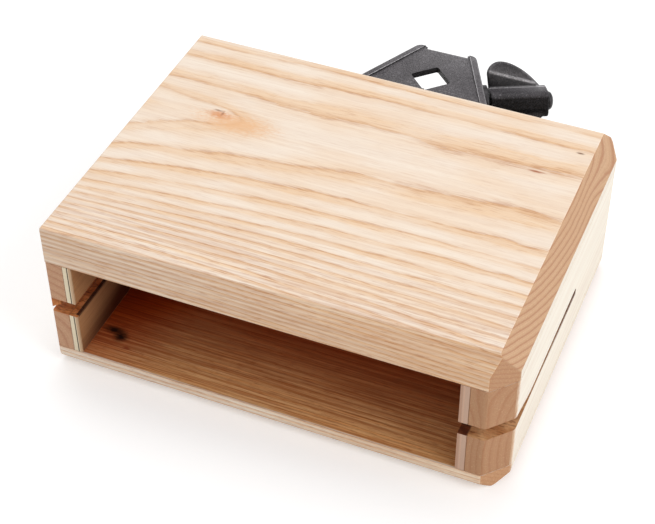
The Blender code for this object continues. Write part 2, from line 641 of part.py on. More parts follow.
def build_handle(bolt_finish):
    """Model the wing handle: a hub, two wings set off to opposite sides, and its bore."""
    frame = bolt_frame(WING_TILT)
    handle = to_object("wing_handle", hub_mesh(), bolt_finish, frame)
    half_turn = Matrix.Rotation(math.pi, 4, 'Z')
    for name, turn in (("upper_wing_form", Matrix.Identity(4)), ("lower_wing_form", half_turn)):
        shape_with(handle, to_object(name, wing_mesh(), frame=frame @ turn), 'UNION')
    bore = turned_mesh([(0, HUB_START - MM), (THREAD_RADIUS + GAP, HUB_START - MM),
                        (THREAD_RADIUS + GAP, HUB_END + MM), (0, HUB_END + MM)], 32)
    shape_with(handle, to_object("handle_bore_cut", bore, frame=frame), 'DIFFERENCE')


def main():
    """Build the whole part."""
    clear_scene()
    ash = finish("ash", (0.80, 0.60, 0.42), 0.55)
    end_grain = finish("ash_end_grain", (0.62, 0.42, 0.28), 0.65)
    plywood = finish("birch_plywood", (0.76, 0.58, 0.40), 0.6)
    casting = finish("black_crinkle_paint", (0.045, 0.045, 0.05), 0.6)
    black_steel = finish("black_steel", (0.02, 0.02, 0.022), 0.4, 0.6)
    zinc_steel = finish("zinc_steel", (0.45, 0.45, 0.46), 0.35, 1.0)
    nylon = finish("black_nylon", (0.03, 0.03, 0.03), 0.5)

    top_plate, back_wall = build_sound_box(ash, end_grain, plywood)
    bracket = build_bracket(casting)
    drill_screw_holes(bracket, top_plate, back_wall)
    build_screws(black_steel)
    build_clamp(zinc_steel, nylon, black_steel)
    build_handle(casting)


main()
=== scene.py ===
"""Looks of a wood block: a slotted sound box of ash, a cast rod bracket and its wing bolt.

Lengths in the part's frame are in metres: +X runs along the box towards its bevelled end,
+Y to the bracket and +Z up. Patterns are worked out in millimetres of the same frame. Every
finished piece sits at the origin with its place in its mesh.
"""

import logging
import math
from dataclasses import dataclass, field
from enum import Enum
from functools import cache, reduce
from types import SimpleNamespace

import bmesh
import bpy
import numpy as np
from mathutils import Matrix, Vector


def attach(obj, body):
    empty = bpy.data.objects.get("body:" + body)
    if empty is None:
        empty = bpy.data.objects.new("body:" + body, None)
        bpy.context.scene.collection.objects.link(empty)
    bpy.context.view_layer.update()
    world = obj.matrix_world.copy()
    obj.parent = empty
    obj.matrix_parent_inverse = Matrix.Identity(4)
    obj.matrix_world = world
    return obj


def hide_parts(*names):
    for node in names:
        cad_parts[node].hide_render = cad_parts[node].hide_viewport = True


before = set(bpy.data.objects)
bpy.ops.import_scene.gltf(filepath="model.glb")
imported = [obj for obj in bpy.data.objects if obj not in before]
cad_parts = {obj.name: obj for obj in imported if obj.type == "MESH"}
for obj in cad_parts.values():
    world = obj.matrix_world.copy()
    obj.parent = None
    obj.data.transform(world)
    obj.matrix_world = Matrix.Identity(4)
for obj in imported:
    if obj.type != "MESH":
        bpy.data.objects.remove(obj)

MM = 0.001
BOX_BODY = "box_and_bracket"
FOOT_BODY = "foot"
BOLT_BODY = "wing_bolt"
log = logging.getLogger("wood_block")

Triple = tuple[float, float, float]
Colour = tuple[float, float, float, float]
Pair = tuple[float, float]
Profile = list[Pair]
ORIGIN: Triple = (0.0, 0.0, 0.0)
WHITE: Colour = (1.0, 1.0, 1.0, 1.0)
CLOSE = 1e-6
NO_AREA = 1e-7
UNDER_HALF = 0.45
QUARTER = math.pi / 2


def tone(red: int, green: int, blue: int) -> Colour:
    """Turn a screen colour into the linear colour that a shader takes.

    Args:
        red: Red in steps of 255.
        green: Green in steps of 255.
        blue: Blue in steps of 255.

    Returns:
        The linear colour, opaque.
    """
    share = np.array([red, green, blue]) / 255.0
    linear = np.where(share <= 0.04045, share / 12.92, ((share + 0.055) / 1.055) ** 2.4)
    return (float(linear[0]), float(linear[1]), float(linear[2]), 1.0)


SAWN, SCORCHED, CHARRED = tone(226, 152, 92), tone(186, 106, 52), tone(96, 46, 20)


# Node trees


class Value:
    """What a node puts out, which plain sums and products turn into further nodes."""

    def __init__(self, plan: "Plan", socket: bpy.types.NodeSocket) -> None:
        """Take the tree and the socket."""
        self.plan, self.socket = plan, socket

    def work(self, operation: str, *sources: "Feed") -> "Value":
        """Work out a number, or a vector where this value is one."""
        kind = "VectorMath" if self.socket.type == "VECTOR" else "Math"
        return self.plan.step(kind, sources, operation=operation)

    def __add__(self, other: "Feed") -> "Value":
        """Add another value."""
        return self.work("ADD", self, other)

    def __radd__(self, other: float) -> "Value":
        """Add this value to a number."""
        return self.work("ADD", other, self)

    def __sub__(self, other: "Feed") -> "Value":
        """Take another value off."""
        return self.work("SUBTRACT", self, other)

    def __rsub__(self, other: float) -> "Value":
        """Take this value off a number."""
        return self.work("SUBTRACT", other, self)

    def __mul__(self, other: "Feed") -> "Value":
        """Multiply by another value."""
        return self.work("MULTIPLY", self, other)

    def __rmul__(self, other: float) -> "Value":
        """Multiply a number by this value."""
        return self.work("MULTIPLY", other, self)

    def __truediv__(self, other: "Feed") -> "Value":
        """Divide by another value."""
        return self.work("DIVIDE", self, other)

    def __pow__(self, power: float) -> "Value":
        """Raise to a power."""
        return self.work("POWER", self, power)

    def __abs__(self) -> "Value":
        """Drop the sign."""
        return self.work("ABSOLUTE", self)

    def rise(self, low: "Feed", high: "Feed") -> "Value":
        """Rise smoothly from 0 where this value is low to 1 where it is high."""
        return self.plan.step("MapRange", (self, low, high, 0.0, 1.0),
                              interpolation_type="SMOOTHSTEP")

    def centred(self, reach: "Feed") -> "Value":
        """Turn noise into a number that swings by half the reach about 0."""
        return (self - 0.5) * reach

    def length(self) -> "Value":
        """Measure this vector."""
        return self.plan.step("VectorMath", (self,), 1, operation="LENGTH")


Feed = Value | float | tuple


class Plan:
    """A node tree that is filled step by step, each step giving the value it puts out."""

    def __init__(self, tree: bpy.types.NodeTree) -> None:
        """Take the tree to fill."""
        self.tree = tree

    def node(self, kind: str, **settings: object) -> bpy.types.Node:
        """Add a node.

        Args:
            kind: The node's type without its prefix.
            settings: Its properties by name.

        Returns:
            The node.
        """
        made = self.tree.nodes.new("ShaderNode" + kind)
        for name, value in settings.items():
            setattr(made, name, value)
        return made

    def feed(self, socket: bpy.types.NodeSocket, source: Feed) -> None:
        """Link a value into a socket, or set the socket where the source is constant.

        Args:
            socket: The socket.
            source: The value or the constant.
        """
        if isinstance(source, Value):
            self.tree.links.new(source.socket, socket)
        else:
            socket.default_value = source

    def step(self, kind: str, sources: tuple, output: int = 0, **settings: object) -> Value:
        """Add a node and feed its inputs in their order.

        Args:
            kind: The node's type without its prefix.
            sources: What its first inputs take.
            output: Which output is wanted.
            settings: Its properties by name.

        Returns:
            The output's value.
        """
        made = self.node(kind, **settings)
        for socket, source in zip(made.inputs, sources):
            self.feed(socket, source)
        return Value(self, made.outputs[output])

    def apart(self, vector: Value) -> tuple[Value, Value, Value]:
        """Split a vector into its three numbers."""
        first = self.step("SeparateXYZ", (vector,)).socket
        return tuple(Value(self, socket) for socket in first.node.outputs)

    def together(self, x: Feed, y: Feed, z: Feed) -> Value:
        """Join three numbers into a vector."""
        return self.step("CombineXYZ", (x, y, z))

    def most(self, *values: Value) -> Value:
        """Pick the greatest of some numbers."""
        return reduce(lambda first, second: first.work("MAXIMUM", first, second), values)

    def noise(self, place: Value, detail: float = 2.0, rough: float = 0.5,
              warp: float = 0.0) -> Value:
        """Read smooth noise, near 0.5 on average, with features one unit of place apart."""
        return self.step("TexNoise", (place, 0.0, 1.0, detail, rough, 2.0, 0.0, 1.0, warp))

    def blend(self, share: Feed, first: Feed, second: Feed, mode: str = "MIX") -> Value:
        """Blend two colours.

        Args:
            share: How much of the second colour there is, from 0 to 1.
            first: The first colour.
            second: The second colour.
            mode: How they are blended.

        Returns:
            The colour.
        """
        made = self.node("Mix", data_type="RGBA", blend_type=mode)
        for number, source in ((0, share), (6, first), (7, second)):
            self.feed(made.inputs[number], source)
        return Value(self, made.outputs[2])

    def group(self, tree: bpy.types.NodeTree, **inputs: Feed) -> SimpleNamespace:
        """Place a shared group.

        Args:
            tree: The group.
            inputs: What its inputs take, by name with _ for a space.

        Returns:
            The values it puts out, by name with _ for a space.
        """
        made = self.node("Group", node_tree=tree)
        for name, source in inputs.items():
            self.feed(made.inputs[name.replace("_", " ").capitalize()], source)
        return self.named(made.outputs)

    def named(self, sockets: bpy.types.NodeOutputs) -> SimpleNamespace:
        """Give a node's outputs as values, by name in small letters with _ for a space."""
        return SimpleNamespace(**{socket.name.lower().replace(" ", "_"): Value(self, socket)
                                  for socket in sockets if socket.name})


class GroupPlan(Plan):
    """A shared pattern group in the making."""

    def __init__(self, name: str, **inputs: Feed) -> None:
        """Begin the group.

        Args:
            name: Its name.
            inputs: Each input's usual value, which gives its type, by name with _ for a
                space.
        """
        super().__init__(bpy.data.node_groups.new(name, "ShaderNodeTree"))
        for title, value in inputs.items():
            size = len(value) if isinstance(value, tuple) else 1
            self.add("INPUT", title, {1: "Float", 3: "Vector", 4: "Color"}[size], value)
        self.take = self.named(self.tree.nodes.new("NodeGroupInput").outputs)

    def add(self, way: str, title: str, kind: str, value: Feed | None = None) -> None:
        """Add an input or an output to the group.

        Args:
            way: INPUT or OUTPUT.
            title: Its name, with _ for a space.
            kind: Its socket's type without its prefix.
            value: Its usual value.
        """
        socket = self.tree.interface.new_socket(
            title.replace("_", " ").capitalize(), in_out=way, socket_type="NodeSocket" + kind)
        if value is not None:
            socket.default_value = value

    def give(self, **outputs: Value) -> bpy.types.NodeTree:
        """End the group.

        Args:
            outputs: What it puts out, by name with _ for a space.

        Returns:
            The group's tree.
        """
        for title, value in outputs.items():
            self.add("OUTPUT", title, "Color" if value.socket.type == "RGBA" else "Float")
        leave = self.tree.nodes.new("NodeGroupOutput")
        for socket, value in zip(leave.inputs, outputs.values()):
            self.feed(socket, value)
        return self.tree


# Pattern groups that several finishes share, each made once


@cache
def growth_rings() -> bpy.types.NodeTree:
    """Make the figure that growth rings leave on any cut through a board.

    The ring number at a place is the square of its distance across the grain from the
    heart line, less a spread that grows with the cube of the way to the butt end and
    less a pull around one knot, over the crowding, plus the start, the depth under the
    face times the depth rate, and the packing times the square of the way to the far
    edge and the way to the butt end. Level sets of that number are the rings. Its
    fraction gives the dark line, which is broken into rows of pores, the warm band that
    follows it, which holds fainter lines and frays along the fibres, and the lines with
    three fainter ones between them that show on end grain.

    Returns:
        The group.
    """
    plan = GroupPlan("growth_rings", place=ORIGIN, heart=0.0, face=0.0, spread=0.0,
                     crowding=900.0, start=0.0, depth_rate=0.42, sway=0.5, seed=0.0,
                     knot=ORIGIN, knot_pull=0.0, packing=0.0)
    take = plan.take
    shifted = take.place + plan.together(take.seed, 0.0, 0.0)
    x, y, z = plan.apart(take.place)
    broad = plan.noise(shifted * (1 / 62, 1 / 24, 1 / 18), 1.0)
    small = plan.noise(shifted * (1 / 17, 1 / 5.5, 1 / 5))
    frayed = plan.noise(shifted * (1 / 13, 1.3, 1.3), 2.0, 0.6)
    sway = broad.centred(0.9) + small.centred(0.4) + frayed.centred(0.42)

    across = y - take.heart
    butt_end, board_length = 81.0, 181.0
    butt = (butt_end - x) / board_length
    spread = butt ** 3.0 * take.spread * across.rise(22.0, -6.0)
    aside = (take.place - take.knot) * (1 / 21, 1 / 9, 1 / 40)
    pull = (1.0 - aside.length().rise(0.0, 1.0)) * take.knot_pull
    square = across * across - spread - pull
    rate = take.depth_rate * (1.0 - across.rise(8.0, 50.0) * 0.86)
    count = square / take.crowding + (take.face - z) * rate + sway * take.sway
    far_edge = across.rise(-48.0, -99.0) ** 2.0
    count = count + far_edge * butt * take.packing + take.start

    part = count.work("FRACT", count)
    number = count.work("ROUND", count)
    fade = plan.noise(plan.together(x * (1 / 45), number * 3.7, take.seed), 1.0)
    weight = fade.rise(0.22, 0.62)
    after, before = 1.0 - part.rise(0.0, 0.13), part.rise(0.9, 1.0)
    dash = plan.noise(shifted * (1 / 7, 1.5, 1.5), 2.0, 0.6)
    broken = dash.rise(0.36, 0.62) * 0.75 + 0.25
    line = plan.most(after, before) * weight * broken
    warm_after, warm_before = 1.0 - part.rise(0.12, 0.58), part.rise(0.74, 1.0) * 0.5
    fourths, thirds = count * 4.0, count * 3.0
    inner = 1.0 - count.work("FRACT", fourths).rise(0.1, 0.6)
    band = (plan.most(warm_after, warm_before) * (inner * 0.3 + 0.75)
            * (weight * 0.6 + 0.4))
    closer = count.work("FRACT", thirds).rise(0.5, 1.0) * 0.42
    end_line = plan.most(part.rise(0.62, 1.0), 1.0 - part.rise(0.0, 0.2), closer)
    return plan.give(line=line, band=band, end_line=end_line)


@cache
def fibre_streaks() -> bpy.types.NodeTree:
    """Make the fine streaks and open pores that run along the grain.

    Streaks are noise drawn out fifty times along the grain, and pores are the crests of
    noise drawn out fourteen times.

    Returns:
        The group.
    """
    plan = GroupPlan("fibre_streaks", place=ORIGIN, fineness=1.0, seed=0.0)
    take = plan.take
    shifted = take.place + plan.together(take.seed, 0.0, 0.0)
    fine = shifted.work("SCALE", shifted, ORIGIN, ORIGIN, take.fineness)
    streak = plan.noise(fine * (0.014, 0.7, 0.7), 3.0, 0.66, 0.2)
    pore = plan.noise(fine * (0.13, 1.8, 1.8), 2.0, 0.6)
    return plan.give(streak=streak.rise(0.3, 0.7), pore=pore.rise(0.52, 0.7))


@cache
def timber_colour() -> bpy.types.NodeTree:
    """Make the colour and relief of sanded ash from its rings, streaks and pores.

    Returns:
        The group.
    """
    plan = GroupPlan("timber_colour", place=ORIGIN, line=0.0, band=0.0, streak=0.0,
                     pore=0.0, end_grain=0.0, pale=tone(245, 229, 209),
                     warm=tone(236, 190, 148), dark=tone(196, 138, 98),
                     end_tone=tone(205, 160, 124), streak_depth=0.3, pore_depth=0.12,
                     end_line=0.0, end_lines=0.3)
    take = plan.take
    mottle = plan.noise(take.place * (1 / 38, 1 / 13, 1 / 13)).rise(0.35, 0.68)
    flat = plan.blend(mottle * 0.3, take.pale, take.warm)
    flat = plan.blend(take.band * 0.95, flat, take.warm)
    flat = plan.blend(take.line * 0.62, flat, take.dark)
    across = 1.0 - take.end_grain
    flat = plan.blend(take.streak * across * take.streak_depth, flat, take.dark)
    rows = take.pore_depth + take.band * 0.3
    flat = plan.blend(take.pore * across * rows, flat, take.dark)
    speck = plan.noise(take.place * (1.7, 1.7, 1.7), 3.0, 0.75)
    end = plan.blend(speck.rise(0.47, 0.66) * 0.62, take.end_tone, take.dark)
    end = plan.blend((speck * -1.0).rise(-0.46, -0.34) * 0.3, end, take.warm)
    end = plan.blend(take.end_line * take.end_lines, end, take.dark)
    end = plan.blend((1.0 - take.end_line) * (take.end_lines * 0.6), end, take.warm)
    relief = take.streak * -0.35 + take.pore * -0.5 + take.line * 0.4
    sheen = take.streak * 0.08 + take.band * -0.06 + 0.52
    return plan.give(colour=plan.blend(take.end_grain, flat, end), height=relief,
                     sheen=sheen)


@cache
def oval_fleck() -> bpy.types.NodeTree:
    """Make one soft oval mark: 1 at its centre, falling to 0 at its half sizes.

    Returns:
        The group.
    """
    plan = GroupPlan("oval_fleck", place=ORIGIN, centre=ORIGIN, reach=(1.0, 1.0, 1.0),
                     ragged=0.3)
    take = plan.take
    far = ((take.place - take.centre) / take.reach).length()
    edge = plan.noise(take.place * (0.5, 1.3, 1.3))
    far = far + edge.centred(take.ragged)
    return plan.give(mask=1.0 - far.rise(0.1, 1.0))


@cache
def within_box() -> bpy.types.NodeTree:
    """Make a mask that is 1 inside a box and falls to 0 over a thin edge outside it.

    Returns:
        The group.
    """
    plan = GroupPlan("within_box", place=ORIGIN, centre=ORIGIN, half=(1.0, 1.0, 1.0),
                     edge=0.3)
    take = plan.take
    far = plan.most(*plan.apart(abs(take.place - take.centre) - take.half))
    return plan.give(mask=1.0 - far.rise(0.0, take.edge))


@cache
def scorched_sawing() -> bpy.types.NodeTree:
    """Make the torn, scorched look of a fast saw cut across a board.

    Returns:
        The group.
    """
    plan = GroupPlan("scorched_sawing", place=ORIGIN, light=SAWN, brown=SCORCHED,
                     char=CHARRED)
    take = plan.take
    tooth = plan.noise(take.place * (0.25, 1.1, 0.5), 3.0, 0.65)
    patch = plan.noise(take.place * (0.13, 0.2, 0.3))
    fibre = plan.noise(take.place * (2.0, 0.8, 2.0), 3.0, 0.7)
    base = plan.blend(patch.rise(0.36, 0.62), take.light, take.brown)
    base = plan.blend(tooth.rise(0.48, 0.72) * 0.8, base, take.char)
    return plan.give(colour=base, height=tooth.centred(1.0) + fibre.centred(0.8))


@cache
def near_line_mask() -> bpy.types.NodeTree:
    """Make a mask that is 1 on a straight line between two points and 0 past its reach.

    The nearest point of the line lies at the share of it that the place's offset from
    the start, dotted with the line and over the line's squared length, gives.

    Returns:
        The group.
    """
    plan = GroupPlan("near_line_mask", place=ORIGIN, start=ORIGIN, run=(1.0, 0.0, 0.0),
                     reach=0.5)
    take = plan.take
    offset = take.place - take.start
    dot, whole = (plan.step("VectorMath", (first, take.run), 1, operation="DOT_PRODUCT")
                  for first in (offset, take.run))
    share = plan.step("Math", (dot, whole), operation="DIVIDE", use_clamp=True)
    far = (offset - take.run * plan.together(share, share, share)).length()
    return plan.give(mask=1.0 - far.rise(0.0, take.reach))


@cache
def crinkle_paint() -> bpy.types.NodeTree:
    """Make the worm-like crinkle of a baked paint on a casting.

    The worms lie where a warped noise crosses its middle value.

    Returns:
        The group.
    """
    plan = GroupPlan("crinkle_paint", place=ORIGIN, size=1.3)
    size = plan.take.size
    unit = plan.take.place / plan.together(size, size, size)
    near = abs(plan.noise(unit, 1.5, 0.45, 0.6) - 0.5)
    cloud = plan.noise(unit * (0.16, 0.16, 0.16), 3.0)
    return plan.give(worm=1.0 - near.rise(0.0, 0.075), cloud=cloud.rise(0.32, 0.7))


@cache
def handling_marks() -> bpy.types.NodeTree:
    """Make rubbed patches, fine scratches and settled dust for metal and plastic.

    Returns:
        The group.
    """
    plan = GroupPlan("handling_marks", place=ORIGIN, size=6.0)
    size = plan.take.size
    unit = plan.take.place / plan.together(size, size, size)
    rub = plan.noise(unit, 4.0, 0.6)
    scratch = plan.noise(unit * (1.4, 26.0, 6.0), 2.0, 0.5, 0.4)
    dust = plan.noise(unit * (7.0, 7.0, 7.0), 3.0, 0.75)
    return plan.give(rub=rub.rise(0.4, 0.68), scratch=scratch.rise(0.64, 0.72),
                     dust=dust.rise(0.5, 0.8))


# Finishes


def shaded(owner: bpy.types.Material | bpy.types.World, shader: str,
           output: str) -> tuple[Plan, bpy.types.Node]:
    """Empty a material's or the world's tree and link a new shader to its output.

    Args:
        owner: The material or the world.
        shader: The shader node's type without its prefix.
        output: The output node's type without its prefix.

    Returns:
        The plan to fill and the shader.
    """
    owner.use_nodes = True
    owner.node_tree.nodes.clear()
    plan = Plan(owner.node_tree)
    made = plan.node(shader)
    plan.feed(plan.node(output).inputs["Surface"], Value(plan, made.outputs[0]))
    return plan, made


class Coat(Plan):
    """A material in the making: its tree, its shader, the place, the colour and relief."""

    def __init__(self, name: str) -> None:
        """Begin a material, whose patterns read the part's frame in millimetres.

        Args:
            name: Its name.
        """
        self.material = bpy.data.materials.new(name)
        plan, self.shader = shaded(self.material, "BsdfPrincipled", "OutputMaterial")
        super().__init__(plan.tree)
        self.colour: Feed = WHITE
        self.height: Value | None = None
        whole = self.named(self.node("TexCoord").outputs).object
        self.place = whole * (1 / MM, 1 / MM, 1 / MM)

    def facing(self) -> tuple[Value, Value, Value]:
        """Give the three numbers of the way the surface faces."""
        return self.apart(self.named(self.node("NewGeometry").outputs).normal)

    def marks(self, size: float) -> SimpleNamespace:
        """Place the handling marks at a size in millimetres."""
        return self.group(handling_marks(), place=self.place, size=size)

    def lay(self, share: Feed, colour: Feed, mode: str = "MIX") -> None:
        """Lay a colour over what is there, by a share from 0 to 1."""
        self.colour = self.blend(share, self.colour, colour, mode)

    def finish(self, roughness: Feed, depth: float = 0.0, strength: float = 0.0,
               specular: float = 0.5, metallic: float = 0.0) -> None:
        """Feed the shader.

        Args:
            roughness: The roughness.
            depth: How far one unit of the relief stands out, in metres.
            strength: How much of the relief is used.
            specular: The specular level.
            metallic: How much of a metal it is.
        """
        fed = [(self.shader, (("Base Color", self.colour), ("Roughness", roughness),
                              ("Specular IOR Level", specular), ("Metallic", metallic)))]
        if self.height is not None:
            bump = self.node("Bump")
            fed += [(bump, (("Strength", strength), ("Distance", depth),
                            ("Height", self.height))),
                    (self.shader, (("Normal", Value(self, bump.outputs["Normal"])),))]
        for node, sources in fed:
            for name, source in sources:
                self.feed(node.inputs[name], source)


@dataclass(frozen=True)
class Finish:
    """A named finish, whose looks each kind of finish fills in."""

    name: str

    def build(self) -> bpy.types.Material:
        """Make the material.

        Returns:
            The material.
        """
        coat = Coat(self.name)
        self.cover(coat)
        return coat.material

    def cover(self, coat: Coat) -> None:
        """Fill in the looks."""
        raise NotImplementedError


class Grain(Enum):
    """Which way a board's fibres run, and which way its figured face looks."""

    ALONG_FACE_UP = "fibres along X, figured face up"
    ALONG_FACE_BACK = "fibres along X, figured face to the back"
    ACROSS_FACE_END = "fibres along Y, figured face to the ends"


@dataclass(frozen=True)
class Fleck:
    """One mark in the wood: its centre and half sizes in millimetres, colour and depth."""

    centre: Triple
    reach: Triple
    colour: Colour
    depth: float = 0.8
    ragged: float = 0.4


@dataclass(frozen=True)
class Scorch:
    """The colours of a face that a fast saw has torn and scorched."""

    light: Colour = SAWN
    brown: Colour = SCORCHED
    char: Colour = CHARRED

    def lay(self, coat: Coat, cut: Value, torn: float) -> None:
        """Lay the sawing over a surface.

        Args:
            coat: The material in the making.
            cut: The mask of what was sawn.
            torn: How much rougher the sawing is than the surface.
        """
        burn = coat.group(scorched_sawing(), place=coat.place, light=self.light,
                          brown=self.brown, char=self.char)
        coat.lay(cut, burn.colour)
        coat.height = coat.height + burn.height * cut * torn


@dataclass(frozen=True)
class Area:
    """A box in the part's frame, in millimetres, as its lowest and highest corner."""

    low: Triple
    high: Triple

    def mask(self, coat: Coat, edge: float) -> Value:
        """Give a mask that is 1 inside this box.

        Args:
            coat: The material in the making.
            edge: The width in millimetres over which the mask falls outside the box.

        Returns:
            The mask.
        """
        low, high = np.array(self.low), np.array(self.high)
        return coat.group(within_box(), place=coat.place, edge=edge,
                          centre=tuple((low + high) / 2), half=tuple((high - low) / 2)).mask


# How wide the edges of masks are, in millimetres, and how far a face has to look up or down,
# or the way that is asked, before a pattern shows on it.
CAVITY_EDGE = 0.4
SAW_EDGE = 0.12
DARKENED_LIP_EDGE = 0.15
DARK_STRIP_EDGE = 0.3
LEVEL_FACE: Pair = (0.4, 0.7)
TURNED_FACE: Pair = (0.3, 0.6)


@dataclass(frozen=True)
class Timber(Finish):
    """Sanded, lightly oiled ash, with its figure placed on one board."""

    grain: Grain = Grain.ALONG_FACE_UP
    heart: float = 23.0
    face: float = 76.0
    spread: float = 0.0
    crowding: float = 900.0
    depth_rate: float = 0.42
    start: float = 0.0
    sway: float = 0.5
    seed: float = 0.0
    knot: Triple = ORIGIN
    knot_pull: float = 0.0
    packing: float = 0.0
    fineness: float = 1.0
    streak_depth: float = 0.3
    pale: Colour = tone(248, 235, 217)
    warm: Colour = tone(236, 198, 156)
    dark: Colour = tone(182, 124, 86)
    end_tone: Colour = tone(196, 148, 108)
    # Painted light: faces towards +X are laid near white, as if strongly lit from the right.
    painted_end_light: Colour = tone(250, 244, 230)
    paints_end_light: bool = False
    end_light_share: float = 0.88
    end_light_streak: float = 0.16
    front_run: Pair = (-28.0, -70.0)
    front_streaks: Pair = (0.45, 0.9)
    front_pores: Pair = (0.12, 0.26)
    front_line_loss: float = 0.62
    inner: Area | None = None
    inner_streaks: float = 0.6
    inner_pores: float = 0.24
    # Painted shade and warm bounce light in the cavity: the tints below are multiplied in over
    # these runs, darker and more orange towards the back and the left corner.
    painted_shade_run: Pair = (-80.0, -14.0)
    far_shade_run: Pair = (-26.0, 12.0)
    corner_shade_run: Pair = (-45.0, -90.0)
    corner_shade_pull: float = 30.0
    mouth_painted_shade: Colour = tone(255, 220, 168)
    inner_painted_shade: Colour = tone(198, 91, 27)
    far_painted_shade: Colour = tone(150, 44, 12)
    front_tint: Colour | None = None
    front_tint_run: Pair = (-150.0, 95.0)
    sawn: tuple[Area, ...] = ()
    sawn_looks: float = 0.0
    sawn_stop: Pair = (-2.4, -1.8)
    torn: float = 6.0
    scorch: Scorch = Scorch()
    # A darker brown laid along the right slot's floor and lower lip, stronger towards the
    # slot's end.
    darkened_lip: Area | None = None
    darkened_lip_from: float = -46.0
    darkened_lip_share: Pair = (0.08, 0.75)
    darkened_lip_tint: Colour = tone(92, 54, 30)
    end_lines: float = 0.45
    flecks: tuple[Fleck, ...] = ()

    def board_place(self, coat: Coat) -> Value:
        """Turn the place so that X runs along the fibres and Z out of the figured face.

        Args:
            coat: The material in the making.

        Returns:
            The place on the board.
        """
        x, y, z = coat.apart(coat.place)
        if self.grain is Grain.ALONG_FACE_UP:
            return coat.place
        return coat.together(*{Grain.ALONG_FACE_BACK: (x, z, y),
                               Grain.ACROSS_FACE_END: (y, z, x)}[self.grain])

    def wood(self, coat: Coat, board: Value, facing: tuple[Value, Value, Value],
             inside: Value | None, fibre: SimpleNamespace) -> SimpleNamespace:
        """Place the rings and the timber's colour on the board.

        Args:
            coat: The material in the making.
            board: The place on the board.
            facing: The way the surface faces.
            inside: The cavity's mask, where the board has one.
            fibre: The streaks and pores.

        Returns:
            The wood's colour, height and sheen.
        """
        across = self.grain is Grain.ACROSS_FACE_END
        end = abs(facing[1 if across else 0]).rise(0.3, 0.62)
        rings = coat.group(growth_rings(), place=board, **{
            name: getattr(self, name) for name in (
                "heart", "face", "spread", "crowding", "sway", "depth_rate", "start", "seed",
                "knot", "knot_pull", "packing")})
        front = coat.apart(coat.place)[1].rise(*self.front_run)
        streaks, pores = (least + front * more
                          for least, more in (self.front_streaks, self.front_pores))
        streaks = self.streak_depth * streaks
        if inside is not None:
            streaks, pores = (streaks + inside * self.inner_streaks,
                              pores + inside * self.inner_pores)
        lines = self.end_lines
        if not across:
            ahead = (facing[1] * -1.0).rise(*TURNED_FACE)
            lines = lines * (1.0 - ahead * self.front_line_loss)
        return coat.group(
            timber_colour(), place=board, line=rings.line, band=rings.band,
            streak=fibre.streak, pore=fibre.pore, end_grain=end, pale=self.pale,
            warm=self.warm, dark=self.dark, end_tone=self.end_tone, streak_depth=streaks,
            pore_depth=pores, end_line=rings.end_line, end_lines=lines)

    def cover(self, coat: Coat) -> None:
        """Lay wood, painted light on the right end faces, front tint, flecks, painted shade in
        the cavity, sawing and a darkened slot lip in turn.

        Args:
            coat: The material in the making.
        """
        board, facing = self.board_place(coat), coat.facing()
        x, y, _ = coat.apart(coat.place)
        inside = self.inner.mask(coat, CAVITY_EDGE) if self.inner else None
        fibre = coat.group(fibre_streaks(), place=board, fineness=self.fineness,
                           seed=self.seed)
        wood = self.wood(coat, board, facing, inside, fibre)
        coat.colour, coat.height = wood.colour, wood.height
        # Painted light: the right end faces, towards +X, are laid near white with faint
        # streaks.
        if self.paints_end_light:
            end_light_colour = coat.blend(fibre.streak * self.end_light_streak, self.painted_end_light, self.dark)
            coat.lay(facing[0].rise(0.97, 0.995) * self.end_light_share, end_light_colour)
        if self.front_tint is not None:
            share = (facing[1] * -1.0).rise(0.5, 0.85) * x.rise(*self.front_tint_run)
            coat.lay(share, self.front_tint, "MULTIPLY")
        for mark in self.flecks:
            spot = coat.group(oval_fleck(), place=coat.place, centre=mark.centre,
                              reach=mark.reach, ragged=mark.ragged)
            coat.lay(spot.mask * mark.depth, mark.colour)
        if inside is not None:
            # Painted shade and warm bounce light: the cavity's faces are multiplied darker and
            # more orange towards the back and the left corner.
            inward = y + x.rise(*self.corner_shade_run) * self.corner_shade_pull
            cavity_painted_shade = coat.blend(inward.rise(*self.painted_shade_run), self.mouth_painted_shade, self.inner_painted_shade)
            cavity_painted_shade = coat.blend(inward.rise(*self.far_shade_run), cavity_painted_shade, self.far_painted_shade)
            coat.lay(inside, cavity_painted_shade, "MULTIPLY")
        for area in self.sawn:
            stop = y.rise(*(area.high[1] + step for step in self.sawn_stop)) * (
                facing[1] * -1.0).rise(*TURNED_FACE)
            faces = coat.most(abs(facing[2]).rise(*LEVEL_FACE),
                              (facing[0] * self.sawn_looks).rise(*TURNED_FACE), stop)
            self.scorch.lay(coat, area.mask(coat, SAW_EDGE) * faces, self.torn)
        # The right slot's floor and lower lip are laid darker brown, more towards the slot's
        # end.
        if self.darkened_lip is not None:
            least, more = self.darkened_lip_share
            share = least + y.rise(self.darkened_lip_from, self.darkened_lip.high[1]) * more
            coat.lay(self.darkened_lip.mask(coat, DARKENED_LIP_EDGE) * share, self.darkened_lip_tint)
        coat.finish(wood.sheen, depth=0.00006, strength=0.7, specular=0.32)


